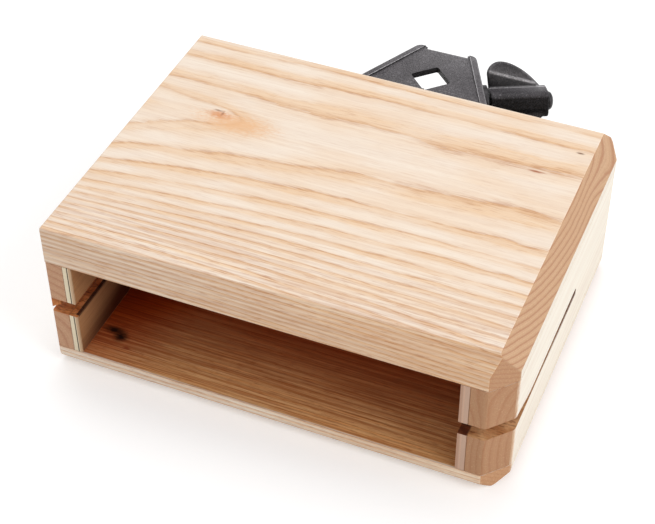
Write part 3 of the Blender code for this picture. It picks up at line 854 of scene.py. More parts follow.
@dataclass(frozen=True)
class Plywood(Finish):
    """Thin birch plywood that lines the box, with its plies and one dark glue line."""

    outer_face: float
    inner_face: float
    inner: Area
    sawn: tuple[Area, ...] = ()
    plain: Colour = tone(240, 226, 196)
    crossed: Colour = tone(206, 172, 138)
    glue: Colour = tone(52, 36, 24)
    veneer: Colour = tone(214, 182, 146)
    veneer_streak: Colour = tone(150, 100, 64)
    # Painted shade in the cavity: the tints below are multiplied in, darker towards the back
    # and towards the floor.
    mouth_painted_shade: Colour = tone(232, 204, 178)
    inner_painted_shade: Colour = tone(98, 50, 24)
    painted_shade_run: Pair = (-78.0, -16.0)
    foot_run: Pair = (25.0, 9.2)
    foot_pull: float = 30.0
    # Strips laid near-black along edges.
    dark_strips: tuple[Area, ...] = ()
    torn: float = 5.0
    scorch: Scorch = Scorch()

    def cover(self, coat: Coat) -> None:
        """Lay plies, veneer, painted shade in the cavity, sawing and near-black strips in
        turn.

        Args:
            coat: The material in the making.
        """
        x, y, z = coat.apart(coat.place)
        facing = coat.facing()
        wander = coat.noise(coat.place * (0.0, 0.02, 0.045))
        depth = (x - self.outer_face) / (self.inner_face - self.outer_face)
        ramp = coat.node("ValToRGB")
        coat.feed(ramp.inputs[0], depth + wander.centred(0.05))
        stops = ((0.0, self.plain), (0.56, self.plain), (0.6, self.glue),
                 (0.69, self.glue), (0.73, self.plain), (0.84, self.crossed))
        elements = ramp.color_ramp.elements
        elements[1].position = stops[1][0]
        for position, _ in stops[2:]:
            elements.new(position)
        for element, (_, colour) in zip(elements, stops):
            element.color = colour
        fibre = coat.group(fibre_streaks(), place=coat.together(y, z, x), fineness=1.7,
                           seed=7.0)
        veneer = coat.blend(fibre.streak * 0.3, self.veneer, self.veneer_streak)
        rough = coat.noise(coat.place * (3.0, 3.0, 1.2), 3.0, 0.7)
        coat.colour, coat.height = Value(coat, ramp.outputs["Color"]), rough.centred(1.0)
        coat.lay(rough.rise(0.45, 0.7) * 0.3, self.crossed)
        coat.lay(abs(facing[0]).rise(0.5, 0.8), veneer)
        # Painted shade: the liner's cavity face is multiplied darker towards the back and
        # towards the floor.
        inward = y + z.rise(*self.foot_run) * self.foot_pull
        cavity_painted_shade = coat.blend(inward.rise(*self.painted_shade_run), self.mouth_painted_shade, self.inner_painted_shade)
        coat.lay(self.inner.mask(coat, CAVITY_EDGE), cavity_painted_shade, "MULTIPLY")
        for area in self.sawn:
            cut = area.mask(coat, SAW_EDGE) * abs(facing[2]).rise(*LEVEL_FACE)
            self.scorch.lay(coat, cut, self.torn)
        # Near-black strips along edges, in the darkest colour of the sawing.
        for area in self.dark_strips:
            coat.lay(area.mask(coat, DARK_STRIP_EDGE) * 0.9, self.scorch.char)
        coat.finish(0.68, depth=0.00008, strength=0.6, specular=0.25)


@dataclass(frozen=True)
class HighlightLine:
    """A painted highlight line on a casting, laid near white where an edge would catch the
    light: its ends, reach and depth.
    """

    start: Triple
    end: Triple
    reach: float
    depth: float


@dataclass(frozen=True)
class CrinklePaint(Finish):
    """Near-black crinkle paint baked onto the zinc casting, lighter on up-facing faces with
    painted top light and settled dust.
    """

    name: str = "crinkle_paint_on_casting"
    ground: Colour = tone(46, 44, 46)
    top_light_and_dust: Colour = tone(86, 82, 85)
    # The colour of painted highlights on the worm crests, laid mostly on up-facing faces.
    crest: Colour = tone(128, 124, 128)
    # The near white of the painted highlight lines and of the lightening towards the rear.
    rubbed_and_highlight: Colour = tone(206, 203, 206)
    dust: Colour = tone(160, 156, 150)
    size: float = 1.5
    shine: float = 0.3
    crest_highlight_share: Pair = (0.04, 0.7)
    cloud_share: float = 0.3
    dust_share: float = 0.06
    rear_lightening: float = 0.0
    rear_lightening_run: Pair = (97.0, 121.0)
    highlight_lines: tuple[HighlightLine, ...] = ()

    def cover(self, coat: Coat) -> None:
        """Lay painted top light with settled dust, worms with painted crest highlights,
        clouds, a lightening towards the rear and painted highlight lines in turn.

        Args:
            coat: The material in the making.
        """
        paint = coat.group(crinkle_paint(), place=coat.place, size=self.size)
        marks, up = coat.marks(9.0), coat.facing()[2]
        upward, (least, more) = up.rise(0.15, 0.85), self.crest_highlight_share
        coat.colour, coat.height = self.ground, paint.worm
        # Up-facing faces are laid lighter grey: painted light from above, with settled dust.
        coat.lay(upward, self.top_light_and_dust)
        # Painted highlights: worm crests laid lighter, most on faces that look up.
        coat.lay(paint.worm * (least + upward * more), self.crest)
        coat.lay(paint.cloud * self.cloud_share, self.ground)
        coat.lay(marks.dust * upward * self.dust_share, self.dust)
        # The paint is laid lighter towards the rear edge.
        rear = coat.apart(coat.place)[1].rise(*self.rear_lightening_run)
        coat.lay(rear * self.rear_lightening, self.rubbed_and_highlight)
        # Painted highlights: near-white lines along edges that would catch the light, only on
        # faces that look up.
        for crease in self.highlight_lines:
            run = tuple(float(end - start) for start, end in zip(crease.start, crease.end))
            line = coat.group(near_line_mask(), place=coat.place, start=crease.start,
                              run=run, reach=crease.reach)
            coat.lay(line.mask * up.rise(0.0, 0.5) * crease.depth, self.rubbed_and_highlight)
        coat.finish(0.36 + marks.rub * 0.12, depth=0.0004, strength=1.0,
                    specular=self.shine)


@dataclass(frozen=True)
class CoatedMetal(Finish):
    """A turned metal with a thin plating or blackening."""

    ground: Colour
    rubbed_and_highlight: Colour
    metallic: float
    roughness: float
    rub_share: float = 0.3
    orange_peel: float = 0.00002

    def cover(self, coat: Coat) -> None:
        """Lay rubbed patches and scratches over an orange-peel ground.

        Args:
            coat: The material in the making.
        """
        marks = coat.marks(5.0)
        coat.colour = self.ground
        coat.height = coat.noise(coat.place * (1.4, 1.4, 1.4)) + marks.scratch * -0.4
        coat.lay(marks.rub * self.rub_share, self.rubbed_and_highlight)
        coat.lay(marks.scratch * 0.25, self.rubbed_and_highlight)
        coat.finish(marks.dust * 0.12 + self.roughness, depth=self.orange_peel,
                    strength=0.8, metallic=self.metallic)


@dataclass(frozen=True)
class MouldedNylon(Finish):
    """Black moulded nylon, slightly waxy, with a fine moulded texture."""

    name: str = "black_nylon"

    def cover(self, coat: Coat) -> None:
        """Lay dust over a pitted ground.

        Args:
            coat: The material in the making.
        """
        marks = coat.marks(4.0)
        coat.colour, coat.height = tone(34, 33, 34), coat.noise(coat.place * (5.0, 5.0, 5.0))
        coat.lay(marks.dust * 0.3, tone(86, 84, 82))
        coat.finish(0.46 + marks.rub * 0.14, depth=0.00003, strength=0.7)


@dataclass(frozen=True)
class GlueFilm(Finish):
    """Cured wood glue in a joint, close to the colour of the boards."""

    name: str = "wood_glue"

    def cover(self, coat: Coat) -> None:
        """Lay browner patches over the glue.

        Args:
            coat: The material in the making.
        """
        marks = coat.marks(3.0)
        coat.colour = tone(158, 108, 70)
        coat.lay(marks.rub * 0.5, tone(120, 76, 46))
        coat.finish(0.4 + marks.dust * 0.2)


# Surfaces


def placed(name: str, data: bpy.types.ID) -> bpy.types.Object:
    """Add an object with this data to the scene.

    Args:
        name: Its name.
        data: Its mesh, light or camera.

    Returns:
        The object, at the origin.
    """
    made = bpy.data.objects.new(name, data)
    bpy.context.scene.collection.objects.link(made)
    return made


@dataclass(frozen=True)
class Part:
    name: str
    body: str
    slot: str
    node: str = ""

    def add(self, mesh: bpy.types.Mesh, material: bpy.types.Material) -> bpy.types.Object:
        """Args:
            mesh: Its mesh.
            material: Its finish.

        Returns:
            The piece.
        """
        mesh.materials.clear()
        mesh.materials.append(material)
        piece = placed(self.name, mesh)
        if self.node:
            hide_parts(self.node)
        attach(piece, self.body)
        log.info("%s: %d faces", self.name, len(mesh.polygons))
        return piece


Sheet = tuple[np.ndarray, bool, bool]


def surface_piece(part: Part, sheets: list[Sheet], material: bpy.types.Material,
                  sharp: float) -> None:
    """Turn grids of points into one mesh piece of quads.

    Corner (i, j) of a grid joins (i + 1, j), (i + 1, j + 1) and (i, j + 1), taken round
    where the grid is closed. Corners that meet are merged, so poles and seams are closed.

    Args:
        sheets: Each grid as rows of points in metres, and whether it is closed along its
            rows and along its columns.
        material: The finish.
        sharp: The angle in degrees above which an edge stays sharp.
    """
    points, quads, start = [], [], 0
    for grid, closed_down, closed_across in sheets:
        rows, columns, _ = grid.shape
        down = np.arange(rows if closed_down else rows - 1)[:, None]
        across = np.arange(columns if closed_across else columns - 1)[None, :]
        next_down, next_across = (down + 1) % rows, (across + 1) % columns
        corners = [down * columns + across, next_down * columns + across,
                   next_down * columns + next_across, down * columns + next_across]
        quads.append(np.stack(np.broadcast_arrays(*corners), axis=-1).reshape(-1, 4) + start)
        points.append(grid.reshape(-1, 3))
        start += rows * columns
    points, quads = np.concatenate(points), np.concatenate(quads)
    mesh = bpy.data.meshes.new(part.name)
    mesh.vertices.add(len(points))
    mesh.vertices.foreach_set("co", points.astype(np.float32).ravel())
    mesh.loops.add(quads.size)
    mesh.loops.foreach_set("vertex_index", quads.astype(np.int32).ravel())
    mesh.polygons.add(len(quads))
    mesh.polygons.foreach_set("loop_start", np.arange(0, quads.size, 4, dtype=np.int32))
    mesh.update(calc_edges=True)
    close_and_smooth(mesh, CLOSE, sharp)
    part.add(mesh, material)


def close_and_smooth(mesh: bpy.types.Mesh, near: float, sharp: float,
                     flat: float = 0.0) -> None:
    """Merge close corners, turn the faces outwards and shade smooth below an angle.

    Args:
        mesh: The mesh to finish.
        near: How close corners are merged, in metres.
        sharp: The angle in degrees above which an edge stays sharp.
        flat: The angle in degrees below which faces are joined. At 0 only faces without an
            area are taken out.
    """
    work = bmesh.new()
    work.from_mesh(mesh)
    bmesh.ops.remove_doubles(work, verts=work.verts, dist=near)
    if flat:
        bmesh.ops.dissolve_limit(work, angle_limit=math.radians(flat), verts=work.verts,
                                 edges=work.edges)
    else:
        bmesh.ops.dissolve_degenerate(work, edges=work.edges, dist=NO_AREA)
    bmesh.ops.recalc_face_normals(work, faces=work.faces)
    work.to_mesh(mesh)
    work.free()
    mesh.validate()
    mesh.shade_smooth()
    mesh.set_sharp_from_angle(angle=math.radians(sharp))


def ring_of(angle: np.ndarray, radius: np.ndarray | float,
            height: np.ndarray | float) -> np.ndarray:
    """Work out (r cos a, r sin a, h) for angles a, radii r and heights h in one grid."""
    return np.stack(np.broadcast_arrays(radius * np.cos(angle), radius * np.sin(angle),
                                        height), axis=-1)


def full_turn(steps: int) -> np.ndarray:
    """Give the angles of a full turn as one row."""
    return np.linspace(0.0, 2 * math.pi, steps, endpoint=False)[None, :]


def turned(profile: Profile, steps: int = 72) -> np.ndarray:
    """Turn a profile about the Z axis, one ring of points for each of its points.

    Args:
        profile: Radius and height pairs in millimetres.
        steps: How many angles there are.

    Returns:
        The grid in millimetres, one row for each point of the profile.
    """
    radius, height = np.array(profile, float).T[..., None]
    return ring_of(full_turn(steps), radius, height)


def softened(profile: Profile, reach: float, steps: int = 4) -> Profile:
    """Round the inner corners of a profile.

    Each corner c is replaced by the curve (1-t)^2 a + 2t(1-t) c + t^2 b, where a and b lie
    on its two sides at the reach or at under half the side.

    Args:
        profile: Radius and height pairs in millimetres.
        reach: How far the rounding runs along each side.
        steps: How many points each rounding has, less one.

    Returns:
        The rounded profile.
    """
    points = np.array(profile, float)
    made = [points[0]]
    share = np.linspace(0.0, 1.0, steps + 1)[:, None]
    for before, corner, after in zip(points[:-2], points[1:-1], points[2:]):
        first, last = (corner + arm * (min(reach, np.linalg.norm(arm) * UNDER_HALF)
                                       / np.linalg.norm(arm))
                       for arm in (before - corner, after - corner))
        made.extend((1 - share) ** 2 * first + 2 * share * (1 - share) * corner
                    + share ** 2 * last)
    made.append(points[-1])
    return [(float(radius), float(height)) for radius, height in made]


# Sub-assemblies


@dataclass
class SoundBox:
    """The slotted box: two plates, a back wall, two end walls and their thin liners."""

    length: float = 201.2
    depth: float = 152.0
    height: float = 76.0
    top_thick: float = 18.0
    floor_thick: float = 9.2
    back_thick: float = 12.0
    left_wall_thick: float = 7.9
    right_wall_thick: float = 16.2
    liner_thick: float = 3.8
    slot_end: float = 19.0
    slot_low: float = 26.0
    slot_high: float = 40.0
    slot_floor: float = 30.2
    slot_roof: float = 37.9
    facet_in: float = 9.3
    facet_back: float = 10.3
    rear_corner: float = 3.6
    glue_back_off: float = 0.25
    gap: float = 0.3
    over: float = 0.2
    front_rim: float = 0.9
    past: float = 1.0
    saw_round: float = 0.6
    left_saw_reach: float = 13.0
    right_saw_reach: float = 21.0
    left_slot: Area = field(init=False)
    right_slot: Area = field(init=False)
    wall_left: float = field(init=False)
    wall_right: float = field(init=False)

    def __post_init__(self) -> None:
        """Work out where the two end slots are cut and where the end walls end inside."""
        half, front, end = self.length / 2, -self.depth / 2, self.slot_end + self.saw_round
        self.left_slot = Area((-half - self.past, front - self.past, self.slot_low),
                              (-half + self.left_saw_reach, end, self.slot_high))
        self.right_slot = Area((half - self.right_saw_reach, front - self.past,
                                self.slot_low), (half + self.past, end, self.slot_high))
        self.wall_left = -half + self.left_wall_thick
        self.wall_right = half - self.right_wall_thick

    def cavity(self) -> Area:
        """Give the hollow that opens to the front.

        Returns:
            Its block, in millimetres.
        """
        return Area((self.wall_left + self.liner_thick - self.over,
                     -self.depth / 2 + self.front_rim, self.floor_thick - self.over),
                    (self.wall_right - self.liner_thick + self.over,
                     self.depth / 2 - self.back_thick + self.over,
                     self.height - self.top_thick + self.over))

    def finishes(self) -> dict[str, Finish]:
        """Choose a finish for each board.

        Returns:
            The finishes by their nodes' names.
        """
        half, inner = self.length / 2, self.cavity()
        left_inside = self.wall_left + self.liner_thick
        # A near-black strip along the left liner's inner edge at the slot floor.
        char = Area((left_inside - 0.9, -self.depth / 2 + 1.5, self.slot_floor - 0.6),
                    (left_inside + 0.2, self.slot_end, self.slot_floor + 0.2))
        # The right slot's floor and lower lip near the outer face, laid darker brown.
        darkened_lip_area = Area((half - 12, -62.0, 28.7), (half + 1, self.slot_end + 0.3, 31.9))
        knot = Fleck((-57.0, 17.5, 76.0), (25.0, 9.5, 3.0), tone(234, 184, 138), 0.85, 1.1)
        knot_core = Fleck((-66.0, 20.5, 76.0), (8.0, 3.6, 3.0), tone(216, 142, 90), 0.75, 1.0)
        knot_dash = Fleck((-67.6, 23.2, 76.0), (3.4, 0.9, 3.0), tone(132, 90, 66), 0.7)
        knot_fork = Fleck((-65.0, 21.8, 76.0), (1.0, 2.6, 3.0), tone(142, 94, 66), 0.55)
        fleck_near = Fleck((88.0, 54.0, 76.0), (2.6, 0.9, 3.0), tone(120, 80, 54), 0.95)
        fleck_far = Fleck((74.0, 35.2, 76.0), (5.2, 1.1, 3.0), tone(168, 96, 58), 0.95)
        floor_knot = Fleck((-82.4, -58.4, 9.2), (7.6, 3.4, 2.0), tone(30, 12, 6), 0.98, 0.5)
        floor_eye = Fleck((-78.0, -61.2, 9.2), (5.0, 4.2, 2.0), tone(24, 9, 4), 1.0, 0.5)
        floor_spot = Fleck((-72.6, -66.4, 9.2), (2.6, 1.4, 2.0), tone(150, 60, 30), 0.6, 0.6)
        return {
            "top_plate": Timber("ash_top_plate", spread=1250.0, start=-0.233,
                                knot=(-69.0, 20.0, 76.0), knot_pull=520.0, packing=3.2,
                                paints_end_light=True, inner=inner, end_tone=tone(183, 142, 110),
                                end_lines=0.6, pale=tone(245, 230, 213),
                                front_tint=(1.0, 0.85, 0.69, 1.0),
                                flecks=(knot, knot_core, knot_dash, knot_fork, fleck_near,
                                        fleck_far)),
            "bottom_plate": Timber("ash_bottom_plate", heart=70.0, face=9.2, crowding=760.0,
                                   seed=31.0, fineness=1.5, streak_depth=0.2,
                                   paints_end_light=True, inner=inner,
                                   front_tint=(1.0, 0.91, 0.8, 1.0),
                                   pale=tone(254, 246, 234), warm=tone(244, 208, 170),
                                   flecks=(floor_knot, floor_eye, floor_spot)),
            "back_wall": Timber("ash_back_wall", grain=Grain.ALONG_FACE_BACK, heart=18.0,
                                face=76.0, seed=52.0, inner=inner, crowding=420.0),
            "left_wall": Timber("ash_left_wall", grain=Grain.ACROSS_FACE_END, heart=-20.0,
                                face=-half, seed=71.0, crowding=560.0, depth_rate=-0.5,
                                sawn=(self.left_slot,), sawn_looks=1.0,
                                end_tone=tone(189, 141, 111), end_lines=0.36),
            # Its end tone is darker than the other boards': the end grain's own colour,
            # deepened by painted shade on its front face.
            "right_wall": Timber("ash_right_wall", grain=Grain.ACROSS_FACE_END, heart=20.0,
                                 face=half, seed=93.0, crowding=420.0, paints_end_light=True,
                                 sawn=(self.right_slot,), end_tone=tone(171, 122, 85),
                                 end_lines=0.24, darkened_lip=darkened_lip_area, scorch=Scorch(
                                     tone(220, 172, 124), tone(190, 132, 84),
                                     tone(118, 66, 34))),
            "left_liner": Plywood("birch_left_liner", self.wall_left, left_inside, inner,
                                  (self.left_slot,), dark_strips=(char,),
                                  scorch=Scorch(char=tone(44, 20, 10))),
            "right_liner": Plywood("birch_right_liner", self.wall_right,
                                   self.wall_right - self.liner_thick, inner,
                                   (self.right_slot,), glue=tone(214, 176, 150),
                                   scorch=Scorch(tone(132, 72, 40), tone(90, 42, 20),
                                                 tone(44, 16, 8)),
                                   plain=tone(206, 172, 150), crossed=tone(192, 152, 128)),
        }

    def dress(self) -> None:
        """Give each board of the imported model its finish."""
        for node, finish in self.finishes().items():
            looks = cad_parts[node].data.materials
            looks.clear()
            looks.append(finish.build())
            log.info("%s: dressed in %s", node, finish.name)

    @staticmethod
    def film(outline: Profile, low: float, high: float) -> Sheet:
        """Work out a film that fills an outline between two heights.

        The rows are the outline's middle and its ring at the low level, then its ring and
        its middle at the high level.

        Args:
            outline: The film's corners seen from above, in millimetres.
            low: Its lower level in millimetres.
            high: Its upper level in millimetres.

        Returns:
            The film's grid in metres, and how it closes.
        """
        ring = np.array(outline, float)
        middle = ring.mean(axis=0)
        inward = np.array([0.0, 1.0, 1.0, 0.0])[:, None, None]
        flat = middle + (ring - middle) * inward
        levels = np.array([low, low, high, high])[:, None, None]
        levels = np.broadcast_to(levels, flat.shape[:2] + (1,))
        return np.concatenate([flat, levels], axis=-1) * MM, False, True

    def build_glue(self) -> None:
        """Build the glue films that fill the joints between the boards."""
        off, gap = self.glue_back_off, self.gap
        left, right = -self.length / 2 + off, self.length / 2 - off
        front, back = -self.depth / 2 + off, self.depth / 2 - off
        low, high = self.floor_thick, self.height - self.top_thick
        inside_left = self.wall_left + self.liner_thick + off
        inside_right = self.wall_right - self.liner_thick - off
        inside_back = self.depth / 2 - self.back_thick + off
        facet_in, facet_back = self.facet_in + off, self.facet_back + off
        bottom, top = low + gap, high - gap
        outlines = (
            [(left, front), (inside_left, front), (inside_left, inside_back),
             (inside_left, back), (left, back)],
            [(inside_right, front), (right - facet_in, front), (right, front + facet_back),
             (right, back - self.rear_corner), (right - self.rear_corner, back),
             (inside_right, back)],
            [(inside_left, inside_back), (inside_right, inside_back), (inside_right, back),
             (inside_left, back)])
        films = [self.film(outline, level, level + gap)
                 for level in (low, top) for outline in outlines]
        films += [self.film([(near, start), (near + gap, start), (near + gap, back),
                             (near, back)], floor, roof)
                  for near in (self.wall_left, self.wall_right - gap)
                  for start, floor, roof in (
                      (front, bottom, self.slot_floor), (front, self.slot_roof, top),
                      (self.slot_end + off, self.slot_floor, self.slot_roof))]
        surface_piece(Part("glue_films", BOX_BODY, "ash"), films, GlueFilm().build(),
                      sharp=20.0)


@dataclass
class Bracket:
    """The cast bracket, whose crinkle paint softens every edge, and its four screws."""

    edge_soft: float = 0.35
    sharp: float = 30.0
    back: float = 76.0
    flange_thick: float = 3.2
    gap: float = 0.3
    rim_inset: float = 0.3
    spread_x: float = 39.5
    spread_z: float = 10.5
    centre_x: float = 6.1
    centre_z: float = 50.65
    shank_radius: float = 2.0
    shank_depth: float = 9.0
    head_radius: float = 3.9
    head_height: float = 2.4
    recess_reach: float = 2.15
    recess_half_width: float = 0.42
    recess_soft: float = 0.16
    recess_depth: float = 1.5
    turns: tuple[float, float, float, float] = (12.0, 61.0, 38.0, 80.0)
    rear_half_width: float = 14.3
    flank_slope: float = math.tan(math.radians(26.0))
    flank_thick: float = 3.2
    web: float = 3.7
    depth: float = 42.0
    rear_edge: float = 40.35
    rim_top: float = 66.9

    def rim(self, side: int, inset: float, behind: float, drop: float = 0.0) -> Triple:
        """Give a point on a flank's rim.

        Args:
            side: -1 on the left flank and 1 on the right one.
            inset: How far it lies inside the flank's outer face.
            behind: How far it lies behind the box.
            drop: How far it lies under the rim.

        Returns:
            The point in the part's frame, in millimetres.
        """
        half = (self.rear_half_width + (self.depth - behind) * self.flank_slope
                - inset * math.hypot(1.0, self.flank_slope))
        return (self.centre_x + side * half, self.back + behind, self.rim_top - drop)

    def highlight_lines(self) -> tuple[HighlightLine, ...]:
        """Give the painted highlight lines along both rims of each flank and along the rear
        edge.

        Returns:
            The lines.
        """
        # Painted highlights along the inner and outer rim of each flank.
        lines = [HighlightLine(self.rim(side, inset, self.web), self.rim(side, inset, self.rear_edge),
                        reach=0.5, depth=depth)
                 for side in (-1, 1)
                 for inset, depth in ((self.rim_inset, 0.35), (self.flank_thick, 0.95))]
        rear = (self.rim(side, 4.0, self.rear_edge, drop=0.9) for side in (-1, 1))
        return (*lines, HighlightLine(*rear, reach=1.0, depth=0.3))

    def build_casting(self) -> None:
        """Build the casting: the CAD node's copy, flats joined and edges softened."""
        part = Part("bracket_casting", BOX_BODY, "casting", "bracket")
        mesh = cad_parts[part.node].data.copy()
        mesh.name = part.name
        close_and_smooth(mesh, 2 * CLOSE, self.sharp, flat=0.6)
        # Up-facing faces of the casting are laid lighter: painted light from above, with
        # settled dust.
        paint = CrinklePaint(top_light_and_dust=tone(92, 88, 91), rear_lightening=0.12,
                             highlight_lines=self.highlight_lines())
        soften = part.add(mesh, paint.build()).modifiers.new("soft_edges", "BEVEL")
        soften.width = self.edge_soft * MM
        soften.segments = 2
        soften.limit_method = "ANGLE"
        soften.angle_limit = math.radians(self.sharp)
        soften.harden_normals = True
        soften.miter_outer = "MITER_ARC"

    def screw_grid(self, turn: float) -> np.ndarray:
        """Work out one pan-headed screw with a cross recess, its axis along Z.

        The head's height falls with the fourth power of the radius, and each arm of the
        cross is sunk by the recess depth, less towards the arm's end, over soft sides.

        Args:
            turn: How far the cross is turned, in degrees.

        Returns:
            The grid in millimetres, closed around the axis.
        """
        seat, steps = self.flange_thick + self.gap, 96
        angle = full_turn(steps)
        radius = np.linspace(self.head_radius * 0.97, 0.0, 30)[:, None]
        share = radius / self.head_radius
        height = seat + self.head_height * (1.0 - 0.42 * share ** 4)
        arms = ring_of(angle - math.radians(turn), radius, 0.0)[..., :2]
        arms = (self.recess_half_width - np.abs(arms)) / self.recess_soft + 0.5
        arms = np.clip(arms, 0, 1).max(axis=-1)
        reach = np.clip((self.recess_reach - radius) / 0.3, 0, 1)
        fall = 1.0 - 0.55 * np.clip(radius / self.recess_reach, 0, 1)
        height = height - self.recess_depth * arms * reach * fall
        rim = [(0.0, -self.shank_depth), (self.shank_radius * 0.5, 1.2 - self.shank_depth),
               (self.shank_radius, 3.5 - self.shank_depth), (self.shank_radius, seat),
               (self.head_radius - 0.2, seat), (self.head_radius, seat + 0.2),
               (self.head_radius, seat + 1.0), (self.head_radius * 0.99, seat + 1.2)]
        return np.concatenate([turned(rim, steps), ring_of(angle, radius, height)])

    def build_screws(self, finish: bpy.types.Material) -> None:
        """Build the four screws that hold the bracket.

        Args:
            finish: Their finish.
        """
        places = [(self.centre_x + side * self.spread_x, self.centre_z + level * self.spread_z)
                  for side in (-1, 1) for level in (-1, 1)]
        for number, ((x, z), turn) in enumerate(zip(places, self.turns), start=1):
            grid = self.screw_grid(turn) @ np.array([[1, 0, 0], [0, 0, -1], [0, 1, 0]])
            grid = (grid + np.array([x, self.back, z])) * MM
            surface_piece(Part("bracket_cross_screw_%d" % number, BOX_BODY, "black_steel",
                               "bracket_screw_%d" % number), [(grid, False, True)], finish,
                          sharp=40.0)


@dataclass(frozen=True)
class BoltFrame:
    """The clamp's own frame: Z along the bolt, X up and turned about the bolt."""

    centre: Triple = (6.1, 94.5, 50.65)
    angle: float = 26.0

    def matrix(self, turn: float = 0.0) -> np.ndarray:
        """Give the three axes as columns: across, side and along.

        Args:
            turn: How far X is turned about the bolt, in degrees.

        Returns:
            The 3 by 3 matrix.
        """
        slant, spin = math.radians(self.angle), math.radians(turn)
        along = np.array([math.cos(slant), math.sin(slant), 0.0])
        up = np.array([0.0, 0.0, 1.0])
        across = up * math.cos(spin) + np.cross(up, along) * math.sin(spin)
        return np.stack([across, np.cross(along, across), along], axis=1)

    def place(self, grid: np.ndarray, turn: float = 0.0) -> np.ndarray:
        """Put a grid in millimetres of the clamp's frame into the part, in metres."""
        return (np.array(self.centre) + grid @ self.matrix(turn).T) * MM


@dataclass
class Clamp:
    """The clamp behind the rod hole: bush, threaded bolt, pressure foot and end cap."""

    axis: BoltFrame = BoltFrame()
    bore: float = 4.15
    thread_radius: float = 3.85
    thread_depth: float = 0.62
    pitch: float = 1.25
    thread_start: float = 7.2
    thread_end: float = 31.0
    run_out: float = 0.8
    bolt_end: float = 49.5
    bush_start: float = 17.2
    bush_radius: float = 6.0
    bush_seat: float = 24.655
    bush_bevel: float = 0.5
    bush_round: float = 0.35
    flange_radius: float = 8.5
    flange_thick: float = 2.3
    nose: tuple[Pair, ...] = ((0.0, 4.6), (1.8, 4.6), (2.2, 5.0), (2.2, 6.7), (3.2, 6.7))
    foot_start: float = 3.0
    foot_end: float = 6.4
    foot_radius: float = 4.6
    foot_round: float = 0.7
    pocket_start: float = 4.3
    pocket_radius: float = 2.5
    hub_end: float = 55.4
    gap: float = 0.3
    cap_radius: float = 4.3
    cap_bevel: float = 0.2
    cap_band: float = 0.5
    cap_rise: float = 2.6

    def thread_grid(self) -> np.ndarray:
        """Work out the bolt with its helical thread.

        At height h and angle a the radius is the crest less the depth times a rounded
        triangle wave of h / pitch - a / 2 pi, faded out at both ends of the thread.

        Returns:
            The grid in millimetres, closed around the axis.
        """
        rows, steps = int((self.thread_end - self.thread_start) / self.pitch * 12), 64
        height = np.linspace(self.thread_start, self.thread_end, rows)[:, None]
        angle = full_turn(steps)
        wave = np.mod(height / self.pitch - angle / (2 * math.pi), 1.0)
        groove = np.clip(1.25 - 2.9 * np.abs(wave - 0.5), 0.0, 1.0)
        fade = np.clip((height - self.thread_start) / self.run_out, 0, 1) * np.clip(
            (self.thread_end - height) / self.run_out, 0, 1)
        radius = self.thread_radius - self.thread_depth * groove * fade
        tail = [(self.thread_radius, self.bolt_end), (0.0, self.bolt_end)]
        return np.concatenate([turned(list(self.nose), steps), ring_of(angle, radius, height),
                               turned(tail, steps)])

    def bush_profile(self) -> Profile:
        """Give the bush's closed profile, which starts and ends inside the bore.

        Returns:
            Its radius and height pairs in millimetres.
        """
        start, seat, top = self.bush_start, self.bush_seat, self.bush_seat + self.flange_thick
        half_way = (start + top) / 2
        return softened([
            (self.bore, half_way), (self.bore, start), (self.bush_radius, start),
            (self.bush_radius, seat), (self.flange_radius, seat), (self.flange_radius, top),
            (self.bore + self.bush_bevel, top), (self.bore, top - self.bush_bevel),
            (self.bore, half_way)], self.bush_round)

    def foot_profile(self) -> Profile:
        """Give the pressure foot's profile, from its face round to its pocket.

        Returns:
            Its radius and height pairs in millimetres.
        """
        return softened([
            (0.0, self.foot_start), (self.foot_radius, self.foot_start),
            (self.foot_radius, self.foot_end), (self.pocket_radius, self.foot_end),
            (self.pocket_radius, self.pocket_start), (0.0, self.pocket_start)],
            self.foot_round)

    def cap_profile(self) -> Profile:
        """Give the end cap's profile, from its plug out to its rim and over its dome.

        Returns:
            Its radius and height pairs in millimetres.
        """
        plug, rim = self.bolt_end + self.gap, self.hub_end + self.gap
        turn = np.linspace(0.0, QUARTER, 12)
        dome = np.stack([self.cap_radius * np.cos(turn),
                         rim + self.cap_band
                         + (self.cap_rise - self.cap_band) * np.sin(turn)], axis=1)
        return ([(0.0, plug), (self.thread_radius, plug), (self.thread_radius, rim),
                 (self.cap_radius - self.cap_bevel, rim),
                 (self.cap_radius, rim + self.cap_bevel)]
                + [(float(r), float(h)) for r, h in dome])

    def build(self, blackened: bpy.types.Material) -> None:
        """Build the clamp's pieces.

        Args:
            blackened: The finish of its blackened pieces.
        """
        zinc = CoatedMetal("zinc_plated_steel", tone(150, 152, 154), tone(206, 206, 204),
                           0.9, 0.34).build()
        nylon = MouldedNylon().build()
        bolt, bush, foot, cap = self.thread_grid(), *(turned(profile) for profile in (
            self.bush_profile(), self.foot_profile(), self.cap_profile()))
        for part, grid, finish, sharp in (
                (Part("threaded_bolt", BOLT_BODY, "zinc_steel", "clamp_bolt"), bolt, zinc,
                 50.0),
                (Part("flanged_bush", BOX_BODY, "black_steel", "thread_bush"), bush,
                 blackened, 40.0),
                (Part("nylon_foot", FOOT_BODY, "nylon", "pressure_foot"), foot, nylon, 40.0),
                (Part("domed_cap", BOLT_BODY, "black_steel", "end_cap"), cap, blackened,
                 40.0)):
            surface_piece(part, [(self.axis.place(grid), False, True)], finish, sharp)


